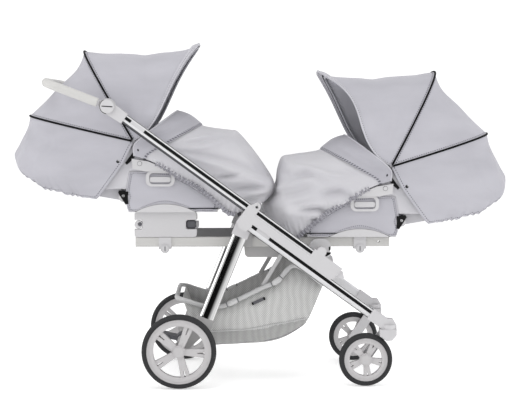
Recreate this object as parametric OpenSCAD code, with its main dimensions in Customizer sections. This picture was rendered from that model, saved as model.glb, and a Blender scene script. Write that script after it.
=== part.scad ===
// Tandem twin pram: two lie-flat seat units, foot to foot, on a long sloping chassis.
// Millimetres. +X is forwards, +Y is the pram's left, +Z is up. The origin is on the floor, midway between the seats.

/* [Wheels] */
// Diameter of a rear wheel over its tyre
rear_wheel_d = 250; // [230:1:266]
// Diameter of a front wheel over its tyre
front_wheel_d = 180; // [160:1:190]
// Width of a rear tyre
rear_tyre_w = 34; // [28:1:40]
// Width of a front tyre
front_tyre_w = 30; // [24:1:32]
// Height of a tyre's section above its rim
tyre_h = 17; // [13:1:20]
// Width of the rim's ring, along the radius
rim_ring = 22; // [16:1:26]
// Radius of a wheel's hub
hub_r = 21; // [18:1:26]
// Number of spokes in a wheel
spokes = 5; // [3:1:7]
// Gap between a rear leg and its tyre
rear_wheel_gap = 32.5; // [31:0.5:44]
// Distance of a front wheel's middle plane inside its leg's middle plane
front_wheel_inset = 3; // [1:0.5:6]
// Distance of the rear axle behind the middle of the pram
rear_axle_back = 281; // [265:1:300]
// Distance of the front axle ahead of the middle of the pram
front_axle_ahead = 346; // [336:1:352]
// Radius of the rear wheels' axle pins
axle_r = 6; // [5:0.5:7]

/* [Chassis] */
// Slope of the side rails below the horizontal, in degrees
rail_slope = 36; // [35:0.5:37]
// Depth of a side rail, seen from the side
rail_depth = 33; // [29:1:35]
// Width of a side rail, across the pram
rail_w = 20; // [18:1:22]
// Distance between the axes of the upper and the lower side rail
rail_spacing = 46; // [44:1:50]
// Wall of the chassis tubes
tube_wall = 2; // [1.5:0.5:3]
// Width of the groove along a side rail
groove_w = 11; // [8:1:13]
// Distance of the groove's middle above the rail's axis
groove_up = 4.5; // [2:0.5:5]
// Distance of a side rail's middle plane outside the seat tub
rail_gap = 53; // [51:0.5:56]
// Rear leg pivot, behind the middle of the pram
pivot_back = 60; // [55:1:65]
// Height of the rear leg pivot
pivot_z = 552; // [548:1:556]
// Radius of the pivot tube that crosses the pram
pivot_tube_r = 10; // [8:0.5:11]
// Lean of the rear legs from the vertical, in degrees
leg_lean = 21.9; // [20:0.1:23]
// Length of a rear leg from its pivot to its foot
leg_length = 380; // [360:1:390]
// Depth of a rear leg, seen from the side
leg_depth = 50; // [44:1:54]
// Width of a rear leg, across the pram
leg_w = 22; // [18:1:23]

/* [Handle] */
// Distance along the upper rail from the leg pivot's foot to the handle hinge
handle_hinge_along = 597; // [590:1:605]
// Distance from the handle hinge to the middle of the crossbar
handle_reach = 222; // [220:1:232]
// Rise of the handle above the horizontal, in degrees
handle_rise = 21; // [20:0.5:24]
// Radius of the handle's inner tube
handle_tube_r = 11; // [8:0.5:12]
// Radius of the padded grip
grip_r = 15; // [13:0.5:16]
// Bend radius of the handle's corners
handle_bend = 45; // [35:1:60]
// Radius of the round hinge cap
hinge_cap_r = 27; // [24:1:29]

/* [Seat rails] */
// Distance of a seat rail's middle plane inside the tub's side
seat_rail_inset = 20; // [17:0.5:25]
// Height of a seat rail's section
seat_rail_h = 33; // [29:1:35]
// Width of a seat rail's section
seat_rail_w = 20; // [16:1:24]
// Half the length of the seat rails
seat_rail_half = 430; // [420:1:445]
// Height of the top of the seat rails
seat_rail_top = 499; // [496:1:500]
// Height of the raised adapters under the rear seat
seat_rise = 85; // [80:1:90]
// Radius of the spare adapter hole at the front of each seat rail
spare_hole_r = 3.5; // [2.5:0.5:4.5]

/* [Seat units] */
// Half the width of the seat tub
tub_half_w = 195; // [190:1:197]
// Wall of the seat tub
tub_wall = 7; // [5:0.5:9]
// Height of the seat tub's sides
tub_h = 138; // [130:1:139]
// Length from the pram's middle to the rear of a tub
tub_rear = 464; // [462:1:466]
// Length from the pram's middle to the front of a tub's side
tub_front = 148; // [140:1:154]
// Distance of the hood pivot from the pram's middle
hood_pivot_u = 433; // [431:1:435]
// Height of the hood pivot above the tub's base
hood_pivot_h = 239; // [237:1:241]
// Distance of the hood's cloth outside the tub's side, at its pivots
hood_gap = 17; // [16:0.5:19]
// Thickness of the hood's and foot cover's cloth
cloth_t = 2.5; // [2:0.5:3]
// Width of a hood bow
bow_t = 6; // [5:0.5:7]
// Thickness of a hood bow
bow_flat = 3.8; // [3:0.1:3.9]
// Distance of the backrest pivot from the pram's middle
recline_u = 470; // [469:0.5:472]
// Height of the backrest pivot above the tub's base
recline_h = 50; // [48:0.5:52]
// Distance of a backrest's side inside the tub's side
back_inset = 21; // [19:0.5:27]
// Length of a backrest from its pivot
back_length = 272; // [264:1:276]
// Rise of a backrest's floor towards the head end when it lies flat, in degrees
back_rise = 10; // [8:0.5:12]

/* [Basket] */
// Distance of the basket's side inside the seat tub's side
basket_inset = 9; // [5:0.5:20]
// Thickness of the basket's mesh and hem
basket_t = 3; // [2:0.5:5]
// Radius of the padded basket rim
basket_rim_r = 7; // [5:0.5:9]

/* [Hidden] */
$fn = 64;

// Running clearance of a pin in its bore
run = 0.05;
// Clearance between pieces that slide or lie side by side
slip = 0.4;
// Directions along the side rails, and square to them upwards
rail_e = [cos(rail_slope), -sin(rail_slope)];
rail_n = [sin(rail_slope), cos(rail_slope)];
rail_y = tub_half_w + rail_gap;
hood_half_w = tub_half_w + hood_gap;
back_half_w = tub_half_w - back_inset;
basket_half_w = tub_half_w - basket_inset;
pivot = [-pivot_back, pivot_z];
upper0 = pivot + rail_spacing * rail_n;
housing_in = rail_y - rail_w / 2 - 3.5;
housing_out = rail_y + rail_w / 2 + 4;
leg_out = housing_in - 1;
leg_mid = leg_out - leg_w / 2 - 1.5;
leg_in = leg_mid - leg_w / 2 - 1.5;
leg_d = [-sin(leg_lean), -cos(leg_lean)];
leg_foot = pivot + leg_length * leg_d;
rear_track = 2 * (leg_out + rear_wheel_gap) + rear_tyre_w;
front_track = 2 * (rail_y - front_wheel_inset);
rear_axle_p = [-rear_axle_back, rear_wheel_d / 2];
front_axle_p = [front_axle_ahead, front_wheel_d / 2];
rear_hub_in = rear_track / 2 - rear_tyre_w / 2 - 3;
front_hub_in = front_track / 2 - front_tyre_w / 2 - 1;
swivel_x = front_axle_ahead + 78;
foot_z = 195;
handle_p = upper0 - handle_hinge_along * rail_e;
handle_d = [-cos(handle_rise), sin(handle_rise)];
front_seat_z = seat_rail_top + 0.3;
rear_seat_z = front_seat_z + seat_rise;
seat_rail_y = tub_half_w - seat_rail_inset;
hood_p = [hood_pivot_u, hood_pivot_h];

// Side view to solid: a shape drawn in X and Z, between two distances y0 < y1 towards the pram's left
module slab(y0, y1) { translate([0, y1, 0]) rotate([90, 0, 0]) linear_extrude(y1 - y0) children(); }
// The same piece on both sides of the pram; it is drawn on the left
module both() { children(); mirror([0, 1, 0]) children(); }
// A seat unit's own frame: u runs from the pram's middle to the seat's head end
module front_place() { translate([0, 0, front_seat_z]) children(); }
module rear_place() { translate([0, 0, rear_seat_z]) mirror([1, 0, 0]) children(); }
module both_seats() { front_place() children(); rear_place() children(); }
// Rectangle with round corners, about its middle
module rounded(w, h, r) {
    square([w - 2 * r, h], center = true);
    square([w, h - 2 * r], center = true);
    for (a = [-1, 1], b = [-1, 1]) translate([a * (w / 2 - r), b * (h / 2 - r)]) circle(r);
}
// A bar with round ends from p to q, in the plane
module strip(p, q, r) {
    v = q - p;
    translate(p) rotate(atan2(v[1], v[0])) translate([0, -r]) square([norm(v), 2 * r]);
    translate(p) circle(r);
    translate(q) circle(r);
}
// Cylinder across the pram at a point of the side view, from y0 to y1
module pin(p, r, y0, y1) { translate([p[0], y1, p[1]]) rotate([90, 0, 0]) cylinder(r = r, h = y1 - y0); }
// Solids laid along a line of the side view: local X runs along it, local Y is the pram's left
module along(p, angle) { translate([p[0], 0, p[1]]) rotate([0, -angle, 0]) children(); }

// Smooth curve through three control points and a cubic one through four, in the side view
function bez2(a, b, c, t) = (1 - t) * (1 - t) * a + 2 * t * (1 - t) * b + t * t * c;
function bez3(a, b, c, d, t) = (1 - t) * bez2(a, b, c, t) + t * bez2(b, c, d, t);
// Value of a list at a position between its entries
function at(list, x) = let (i = min(floor(x), len(list) - 2)) list[i] + (x - i) * (list[i + 1] - list[i]);
// Faces of a sheet with two sides: n rows of m points each, the outside first and then the inside
function sheet_faces(n, m) = let (k = n * m) concat(
    [for (i = [0:n - 2], j = [0:m - 2]) let (a = i * m + j) each [[a, a + 1, a + m + 1], [a, a + m + 1, a + m]]],
    [for (i = [0:n - 2], j = [0:m - 2]) let (a = k + i * m + j) each [[a, a + m + 1, a + 1], [a, a + m, a + m + 1]]],
    [for (i = [0:n - 2]) let (a = i * m, b = a + m) each [[a, b, k + b], [a, k + b, k + a]]],
    [for (i = [0:n - 2]) let (a = i * m + m - 1, b = a + m) each [[a, k + b, b], [a, k + a, k + b]]],
    [for (j = [0:m - 2]) let (a = j) each [[a, k + a, k + a + 1], [a, k + a + 1, a + 1]]],
    [for (j = [0:m - 2]) let (a = (n - 1) * m + j) each [[a, k + a + 1, k + a], [a, a + 1, k + a + 1]]]);
// Faces of a closed tube: n rings of m points, with both ends capped
function tube_faces(n, m) = concat(
    [for (i = [0:n - 2], j = [0:m - 1]) let (a = i * m + j, b = i * m + (j + 1) % m)
        each [[a, b + m, b], [a, a + m, b + m]]],
    [for (j = [1:m - 2]) [0, j, j + 1]],
    [for (j = [1:m - 2]) let (o = (n - 1) * m) [o, o + j + 1, o + j]]);

// Side rail section: depth across, width up, with a groove along the outer face
module rail_section() {
    difference() {
        rounded(rail_depth, rail_w, 6);
        rounded(rail_depth - 2 * tube_wall - 4, rail_w - 2 * tube_wall - 6, 2);
        translate([-groove_up, rail_w / 2]) square([groove_w, 3], center = true);
    }
}
module rail(p, from, to) {
    translate([p[0], rail_y, p[1]]) rotate([0, 90 + rail_slope, 0]) rotate([0, 0, 0])
        translate([0, 0, from]) linear_extrude(to - from) rail_section();
}
// Space for a side rail through a housing
module rail_space(p, from, to) {
    translate([p[0], rail_y, p[1]]) rotate([0, 90 + rail_slope, 0])
        translate([0, 0, from]) linear_extrude(to - from) rounded(rail_depth + slip, rail_w + slip, 6 + slip / 2);
}
front_tube = upper0 + 264 * rail_e + (rail_depth / 2 + pivot_tube_r - 0.5) * rail_n;
function on_upper(t, n) = upper0 + t * rail_e + n * rail_n;
function on_lower(t, n) = pivot + t * rail_e + n * rail_n;

// White housings that hold the upper rail beside the lower one
module frame_housings() {
    color("#dcdbdd") both() difference() {
        union() {
            slab(rail_y + rail_w / 2 + slip, housing_out)
                polygon([on_upper(262, -16), on_upper(262, 21), on_upper(354, 21), on_upper(348, -16)]);
            slab(housing_in, housing_out) {
                polygon([on_lower(-26, -14), on_lower(12, -24), on_lower(20, -24), on_lower(20, 10.5),
                         on_upper(13, -8), on_upper(13, 21), on_upper(-14, 21), on_upper(-26, 8)]);
                translate(pivot) circle(25);
                translate(on_upper(0, 21.6)) circle(13);
                polygon([on_upper(240, 21), on_upper(286, 21), on_upper(352, -17), on_lower(352, 26), on_lower(338, 10.5),
                         on_lower(240, 10.5)]);
                translate(front_tube) circle(16);
                polygon([on_lower(14, 10.5), on_upper(8, -6), on_upper(250, -6), on_lower(250, 10.5)]);
            }
        }
        rail_space(upper0, -60, 356);
        rail_space(pivot, 18, 356);
        pin(pivot, pivot_tube_r + 0.1, 0, housing_out - 2.5);
        pin(front_tube, pivot_tube_r - 1 + 0.1, 0, housing_out - 2.5);
        slab(housing_in - 1, rail_y + rail_w / 2 + 0.4)
            polygon([on_lower(46, 10), on_upper(46, -5.5), on_upper(234, -5.5), on_lower(234, 10)]);
    }
}
// Lower side rails, from the pivot down to the front feet
module front_legs() { color("#c9c9cc") both() rail(pivot, 19, 552); }
// Feet of the front legs, with the casters' bearings
module front_feet() {
    color("#dcdbdd") both() difference() {
        union() {
            slab(housing_in, housing_out) {
                polygon([on_lower(520, 20), on_lower(575, 20), [swivel_x + 12, foot_z + 34], [swivel_x + 24, foot_z + 14],
                         [swivel_x + 24, foot_z], [swivel_x - 26, foot_z], on_lower(528, -20), on_lower(520, -20)]);
            }
            translate([swivel_x, rail_y, foot_z]) cylinder(r = 24, h = 14);
        }
        rail_space(pivot, 500, 553);
        translate([swivel_x, rail_y, foot_z - 1]) cylinder(r = 6 + run, h = 32);
    }
}
// Tubes across the pram: the rear leg pivot and the front cross tube
module cross_tubes() {
    color("#bebdbb") {
        difference() {
            pin(pivot, pivot_tube_r, -housing_out + 3, housing_out - 3);
            pin(pivot, pivot_tube_r - tube_wall, -400, 400);
        }
        difference() {
            pin(front_tube, pivot_tube_r - 1, -housing_out + 3, housing_out - 3);
            pin(front_tube, pivot_tube_r - 1 - tube_wall, -400, 400);
        }
    }
}
// Block between the seat rails at the middle of the pram
module cross_carrier() {
    h = seat_rail_top - 428;
    color("#a9a8a8") difference() {
        slab(-seat_rail_y + seat_rail_w / 2, seat_rail_y - seat_rail_w / 2)
            translate([30, 428 + h / 2]) rounded(180, h, 14);
        slab(-seat_rail_y + 35, seat_rail_y - 35) translate([30, 428 + h / 2]) rounded(160, h - 20, 8);
    }
}
// One of the rails that carry both seats, with a spare adapter hole near its front end
module seat_rail() {
    translate([0, seat_rail_y, seat_rail_top - seat_rail_h / 2]) difference() {
        rotate([90, 0, 90]) translate([0, 0, -seat_rail_half]) linear_extrude(2 * seat_rail_half) difference() {
            rounded(seat_rail_w, seat_rail_h, 4);
            rounded(seat_rail_w - 2 * tube_wall, seat_rail_h - 2 * tube_wall, 2);
        }
        translate([seat_rail_half - 36, -50, 0]) rotate([-90, 0, 0]) cylinder(r = spare_hole_r, h = 100);
    }
}
module seat_rails() { color("#bebdbb") both() seat_rail(); }
// Plates that hang the seat rails from the cross tubes
module rail_supports() {
    y0 = seat_rail_y + seat_rail_w / 2;
    p1 = front_tube;
    color("#b2b1b1") both() difference() {
        slab(y0, y0 + 9) {
            translate(pivot) circle(24);
            polygon([pivot + [-22, 0], pivot + [22, 0], [pivot[0] + 26, seat_rail_top - seat_rail_h + 2],
                     [pivot[0] - 18, seat_rail_top - seat_rail_h + 2]]);
            for (d = [-8.5, 6.5]) translate(p1 + [d, 10]) circle(29);
            translate(p1 + [-8.5, -19]) square([15, 58]);
        }
        pin(pivot, pivot_tube_r + 0.1, 0, 400);
        pin(p1, pivot_tube_r - 1 + 0.1, 0, 400);
    }
}
// Raised adapters that lift the rear seat off its rails
module raised_adapters() {
    z0 = seat_rail_top;
    w = 24;
    color("#cfced0") both() difference() {
        slab(seat_rail_y - w / 2, seat_rail_y + w / 2) {
            translate([-328, z0 + seat_rise / 2]) rounded(210, seat_rise, 9);
        }
        slab(0, 300) {
            for (a = [-1, 1]) translate([-328 + a * 105, z0 + seat_rise / 2]) rounded(a < 0 ? 56 : 74, 32, 8);
        }
    }
}
// Clamps round the seat rails under the seats
module rail_clamps() {
    w = seat_rail_w + 10;
    color("#c2c1c1") both() for (x = [-330, 330]) difference() {
        union() {
            translate([x - 21, seat_rail_y - w / 2, seat_rail_top - seat_rail_h - 7])
                cube([42, w, seat_rail_h + 6]);
            slab(seat_rail_y - w / 2 + 4, seat_rail_y + w / 2 - 2) translate([x, seat_rail_top - seat_rail_h - 6]) circle(13);
        }
        translate([x - 40, seat_rail_y, seat_rail_top - seat_rail_h / 2]) rotate([90, 0, 90])
            linear_extrude(80) rounded(seat_rail_w + 0.2, seat_rail_h + 0.2, 4.1);
        translate([x - 40, seat_rail_y - 6, seat_rail_top - 4]) cube([80, 12, 20]);
    }
}
// Turn knobs on the clamps' outer sides, and the screws in the raised adapters' notches
module clamp_knobs() {
    p0 = [330, seat_rail_top - seat_rail_h - 6];
    y0 = seat_rail_y + seat_rail_w / 2 + 5;
    color("#8c8b8d") both() {
        for (a = [-1, 1]) {
            pin([a * p0[0], p0[1]], 15, y0, y0 + 4);
            pin([a * p0[0], p0[1]], 11, y0 + 3, y0 + 6);
        }
        pin([-419.3, seat_rail_top + seat_rise / 2], 14, seat_rail_y - 9, seat_rail_y + 9);
    }
}

// Side outline of the basket: its rim, its front edge and its sagging floor
function basket_rim_pts(k) = [[-272, 288], [-200, 266], [-140, 264], [-93, 282], [-2, 326], [50, 350], [111, 402],
                              [206, 336]];
function basket_floor_pts(g) = [[152 - g, 204 + g / 2], [127 - g / 2, 177 + g], [76, 147 + g], [20, 132 + g], [-60, 127 + g],
                                [-130, 124 + g], [-178 + g / 3, 128 + g], [-236 + g, 190 + g / 2]];
module basket() {
    y = basket_half_w;
    color("#bdbdbb") difference() {
        slab(-y, y) polygon(concat(basket_rim_pts(0), basket_floor_pts(0)));
        slab(-y + basket_t, y - basket_t) polygon(concat([for (p = basket_rim_pts(0)) p + [0, 300]],
            [[206 - 1.2 * basket_t, 336]], basket_floor_pts(basket_t), [[-272 + 1.2 * basket_t, 288]]));
    }
}
// Padded rim along the basket's upper edge on each side
module basket_rim() {
    y = basket_half_w + basket_rim_r + slip;
    pts = basket_rim_pts(0);
    n = len(pts);
    color("#a8a8a8") both() polyhedron(points = [for (i = [0:n - 1]) let (v = pts[min(i + 1, n - 1)] - pts[max(i - 1, 0)],
            s = [-v[1], v[0]] / norm(v)) each [for (j = [0:11]) [pts[i][0] + basket_rim_r * cos(30 * j) * s[0],
            y - basket_rim_r * sin(30 * j), pts[i][1] + basket_rim_r * cos(30 * j) * s[1]]]],
        faces = tube_faces(n, 12), convexity = 6);
    y1 = seat_rail_y + seat_rail_w / 2 + 0.3;
    color("#a8a8a8") both() slab(y1, y1 + 2)
        polygon([[-4, 334.7], [8, 335.7], [94, seat_rail_top - 22], [94, seat_rail_top - 8], [84, seat_rail_top - 8],
                 [80, seat_rail_top - 22]]);
}

// Upper side rails, which slide through the housings with the handle
module handle_tubes() { color("#c9c9cc") both() rail(upper0, -handle_hinge_along + 52, 352); }
// Hinge bodies at the upper ends, and the slanted caps of the lower ends
module handle_hinges() {
    h = handle_hinge_along;
    color("#dcdbdd") both() {
        difference() {
            slab(rail_y - 13, rail_y + 13) {
                translate(handle_p) circle(hinge_cap_r);
                polygon([on_upper(-h, 20), on_upper(-h + 70, 19), on_upper(-h + 70, -19), on_upper(-h, -24)]);
            }
            rail_space(upper0, -h + 51.8, -h + 90);
            slab(rail_y - 5.4, rail_y + 5.4) {
                translate(handle_p) circle(hinge_cap_r + 2);
                translate(handle_p - [100, 0]) square([100, 60], center = false);
            }
            pin(handle_p, 8 + run, rail_y - 30, rail_y + 30);
        }
        slab(rail_y - 7.5, rail_y + 7.5)
            polygon([on_upper(352, 13), on_upper(362, 13), on_upper(378, -2), on_upper(366, -13), on_upper(352, -13)]);
    }
}
// U-shaped handle: inner tube, corners and hinge tongues with their pins
module handle_side(r, from) {
    l = handle_reach - handle_bend;
    translate([handle_p[0], rail_y, handle_p[1]]) rotate([0, -(180 - handle_rise), 0]) {
        translate([from, 0, 0]) rotate([0, 90, 0]) cylinder(r = r, h = l - from);
        translate([l, -handle_bend, 0]) rotate([0, 0, 0]) rotate_extrude(angle = 90)
            translate([handle_bend, 0]) circle(r);
        translate([handle_reach, -handle_bend, 0]) rotate([90, 0, 0]) cylinder(r = r, h = rail_y - handle_bend);
    }
}
module handle_bar() {
    color("#d6d5d6") both() {
        handle_side(handle_tube_r, hinge_cap_r + 3);
        difference() {
            slab(rail_y - 5, rail_y + 5) {
                translate(handle_p) circle(hinge_cap_r - 2);
                strip(handle_p, handle_p + 34 * handle_d, 11);
            }
            pin(handle_p, 8 + run, rail_y - 30, rail_y + 30);
        }
    }
}
// Padded grip over the handle's tube
module handle_grip() {
    color("#e3e1dc") difference() {
        both() handle_side(grip_r, hinge_cap_r + 9);
        both() handle_side(handle_tube_r + 0.1, hinge_cap_r);
    }
}
// Push button through the handle hinge
module handle_button() {
    pin(handle_p, 8, rail_y - 12, rail_y + 13);
    pin(handle_p, hinge_cap_r - 4, rail_y + 19, rail_y + 22);
    pin(handle_p, 8, rail_y + 12, rail_y + 20);
}
module handle_button_left() { color("#cfced0") handle_button(); }
module handle_button_right() { color("#cfced0") mirror([0, 1, 0]) handle_button(); }

// Rear legs: tubes, pivot sockets, the axle with its carriers, and the brake
module leg_tube(grow) {
    translate([pivot[0], leg_mid, pivot[1]]) rotate([0, 180 + leg_lean, 0])
        linear_extrude(leg_length) rounded(leg_depth + grow, leg_w + grow, 9);
}
module rear_leg_tubes() {
    color("#c9c9cc") both() difference() {
        translate([pivot[0], leg_mid, pivot[1]]) rotate([0, 180 + leg_lean, 0]) translate([0, 0, 30])
            linear_extrude(leg_length - 30) difference() {
                rounded(leg_depth, leg_w, 9);
                rounded(leg_depth - 2 * tube_wall, leg_w - 2 * tube_wall, 7);
            }
    }
}
module rear_leg_sockets() {
    q = [leg_d[1], -leg_d[0]];
    a = leg_depth / 2 + 3;
    color("#dcdbdd") both() difference() {
        slab(leg_in, leg_out) {
            translate(pivot) circle(27);
            polygon([pivot + a * q + 4 * leg_d, pivot + a * q + 52 * leg_d,
                     pivot - a * q + 52 * leg_d, pivot - a * q + 4 * leg_d]);
        }
        translate([pivot[0], leg_mid, pivot[1]]) rotate([0, 180 + leg_lean, 0]) translate([0, 0, 29.8])
            linear_extrude(60) rounded(leg_depth + 0.2, leg_w + 0.2, 9.1);
        pin(pivot, pivot_tube_r + run, 0, 400);
    }
}
module rear_axle() {
    q = [leg_d[1], -leg_d[0]];
    a = leg_depth / 2 + 3;
    color("#b9b8b9") {
        both() difference() {
            union() {
                slab(leg_in, leg_out) {
                    polygon([leg_foot + a * q - 30 * leg_d, leg_foot + a * q + 16 * leg_d,
                             leg_foot - a * q + 16 * leg_d, leg_foot - a * q - 30 * leg_d]);
                    strip(leg_foot + 2 * leg_d, rear_axle_p, 21);
                }
                pin(rear_axle_p, 18, leg_in, rear_hub_in - 1);
                pin(rear_axle_p, axle_r, leg_in, rear_track / 2 + 10);
            }
            translate([pivot[0], leg_mid, pivot[1]]) rotate([0, 180 + leg_lean, 0])
                linear_extrude(leg_length + 0.2) rounded(leg_depth + 0.2, leg_w + 0.2, 9.1);
        }
        pin(rear_axle_p, 13, -leg_in - 1, leg_in + 1);
    }
}
// Brake pedal, turning on the axle tube
module brake_pedal() {
    color("#55555a") difference() {
        union() {
            pin(rear_axle_p, 19, -32, 32);
            slab(-32, 32) strip(rear_axle_p, rear_axle_p + [-62, 12], 7);
            slab(-40, 40) translate(rear_axle_p + [-62, 14]) rotate(-12) rounded(34, 12, 5);
        }
        pin(rear_axle_p, 13 + run, -400, 400);
    }
}

// Wheels are drawn about Z, with Z pointing outwards; the hub's bore is open on the inner side
module rim(r, w, bore, pin_end) {
    ring = r - tyre_h;
    band = rim_ring * (0.35 + 0.0052 * r);
    inner = ring - band;
    slot = inner - 10 - 0.4 * (r - 90);
    a = 3.6 + 0.055 * r;
    b = 8 + 0.06 * r;
    difference() {
        union() {
            rotate_extrude() {
                translate([inner, -w / 2 + 4]) square([band - 3, w - 8]);
                translate([ring - 6, -w / 2 + 2]) square([6, w - 4]);
            }
            translate([0, 0, -w / 2 - 1]) cylinder(r = hub_r - 5, h = w);
            translate([0, 0, -w / 2 + 3]) cylinder(r = hub_r, h = w - 6);
            for (k = [0:spokes - 1]) rotate(k * 360 / spokes) translate([0, 0, -w / 2 + 6]) linear_extrude(w - 13)
                difference() {
                    polygon([[hub_r - 4, -a], [inner + 4, -b], [inner + 4, b], [hub_r - 4, a]]);
                    polygon([[slot, -1.5], [inner + 9, -3.5], [inner + 9, 3.5], [slot, 1.5]]);
                }
        }
        translate([0, 0, -w]) cylinder(r = bore + run, h = w + pin_end + 0.5);
    }
}
module tyre(r, w) {
    rotate_extrude() translate([r - tyre_h + 0.1, 0]) intersection() {
        translate([0, -w / 2]) square([tyre_h - 0.1, w]);
        translate([tyre_h - 0.1 - w * 0.6, 0]) circle(w * 0.6);
    }
}
module rear_place_wheel() { translate([rear_axle_p[0], rear_track / 2, rear_axle_p[1]]) rotate([-90, 0, 0]) children(); }
module front_place_wheel() {
    translate([front_axle_p[0], front_track / 2, front_axle_p[1]]) rotate([-90, 0, 0]) children();
}
module rear_rim() { color("#dad8da") rear_place_wheel() rotate(4) rim(rear_wheel_d / 2, rear_tyre_w, axle_r, 10); }
module front_rim() { color("#dad8da") front_place_wheel() rotate(11) rim(front_wheel_d / 2, front_tyre_w, 5, 9); }
module rear_tyre() { color("#3a3a3c") rear_place_wheel() tyre(rear_wheel_d / 2, rear_tyre_w); }
module front_tyre() { color("#3a3a3c") front_place_wheel() tyre(front_wheel_d / 2, front_tyre_w); }
module rear_rim_left() { rear_rim(); }
module rear_rim_right() { mirror([0, 1, 0]) rear_rim(); }
module rear_tyre_left() { rear_tyre(); }
module rear_tyre_right() { mirror([0, 1, 0]) rear_tyre(); }
module front_rim_left() { front_rim(); }
module front_rim_right() { mirror([0, 1, 0]) front_rim(); }
module front_tyre_left() { front_tyre(); }
module front_tyre_right() { mirror([0, 1, 0]) front_tyre(); }
// Swivelling fork of a front wheel: housing, arm, kingpin and stub axle
module caster() {
    y0 = front_track / 2 - front_tyre_w / 2 - 13;
    top = foot_z - 0.6;
    color("#d3d2d4") {
        difference() {
            union() {
                slab(y0, rail_y + 20) polygon([[swivel_x - 32, top], [swivel_x + 24, top], [swivel_x + 24, top - 20],
                    [swivel_x + 8, top - 38], [swivel_x - 12, top - 40], [swivel_x - 32, top - 24]]);
                slab(y0, y0 + 10) strip([swivel_x - 18, top - 20], front_axle_p, 17);
            }
            pin(front_axle_p, front_wheel_d / 2 + 3, y0 + 11, 400);
        }
        translate([swivel_x, rail_y, top - 10]) cylinder(r = 6, h = 40);
        pin(front_axle_p, 14, y0, front_hub_in - 1.5);
        pin(front_axle_p, 5, y0, front_track / 2 + 9);
    }
}
module caster_left() { caster(); }
module caster_right() { mirror([0, 1, 0]) caster(); }

// Hood arches: share of the rise and of the half width at an angle, 0 at the pivot and 90 at the top
function rise(a) = pow(sin(a), 0.77);
function span(a) = pow(max(cos(a), 0), 0.77);
// Tips of a hood's back rib and middle rib, and the front rim's curve; the front seat's hood is drawn further forward
hood_rear = [[802, 324], [613, 546], [[322, 300], [338, 424], [213, 570]]];
hood_front = [[786, 347], [602, 561], [[319, 294], [328, 418], [193, 560]]];
function rib(tip, a) = hood_p + rise(a) * (tip - hood_p);
function visor(h, a) = bez3(hood_p, h[2][0], h[2][1], h[2][2], rise(a));
// Angles across a hood or an arch, from one side over the top to the other; the sign gives the side
function sweep(a0, n) = [for (k = [-n:n]) (k < 0 ? -1 : 1) * (90 - (90 - a0) * pow(abs(k) / n, 0.9))];
function side_of(k, n) = k < n ? -1 : 1;
// A cloth sheet over the rows p(i), each a list of [u, z, half width, rise share] from one side to the other
function cloth(rows, t) = concat(
    [for (r = rows) each [for (q = r) [q[0], q[2], q[1]]]],
    [for (r = rows) each [for (q = r) let (v = [q[0], q[1]] - hood_p, l = max(norm(v), 1))
        [q[0] - t * q[3] * v[0] / l, q[2] - t * q[4], q[1] - t * q[3] * v[1] / l]]]);
module cloth_sheet(rows, t) {
    polyhedron(points = cloth(rows, t), faces = sheet_faces(len(rows), len(rows[0])), convexity = 6);
}
// One point of a hood panel between two ribs, drawn in by the sag
function panel_point(p, y, a, s, draw) = let (v = p - hood_p, k = 1 - draw * rise(a) / max(norm(v), 1))
    [hood_p[0] + k * v[0], hood_p[1] + k * v[1], s * y, sin(a), s * cos(a)];
hood_n = 10;
hood_cols = [for (k = [0:2 * hood_n]) let (c = abs(k - hood_n) / hood_n) [90 - 87.5 * pow(c, 0.85), k < hood_n ? -1 : 1]];
module hood_middle_shape(h) {
    cloth_sheet([for (i = [0:6]) let (t = 0.01 + 0.98 * i / 6) [for (c = hood_cols) let (a = c[0])
        panel_point((1 - t) * rib(h[0], a) + t * rib(h[1], a), hood_half_w * span(a), a, c[1],
                    72 * t * (1 - t))]], cloth_t);
}
module hood_front_shape(h) {
    cloth_sheet([for (i = [0:6]) let (t = 0.01 + 0.99 * i / 6) [for (c = hood_cols) let (a = c[0])
        panel_point((1 - t) * rib(h[1], a) + t * visor(h, a), hood_half_w * span(a), a, c[1],
                    100 * t * (1 - t))]], cloth_t);
}
// Lower edge of the hood's back, and its half width there, from the pivot round the head end
skirt_edge = [[433, 236], [472, 160], [556, 45], [640, 58], [735, 82], [808, 124], [846, 160]];
skirt_width = [1, 1, 1, 1, 0.97, 0.8, 0];
module hood_back_shape(h) {
    cloth_sheet([for (i = [0:7]) let (t = 0.99 * (1 - i / 7)) [for (c = hood_cols) let (a = c[0], x = 6 * a / 90,
        q = (1 - t) * rib(h[0], a) + t * at(skirt_edge, x) + [24 * sin(180 * t * t * t) * rise(a), 0],
        w = (1 - t) * span(a) + t * at(skirt_width, x)) [q[0], q[1], c[1] * hood_half_w * w, sin(a), c[1] * cos(a)]]],
        cloth_t);
}
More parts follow.
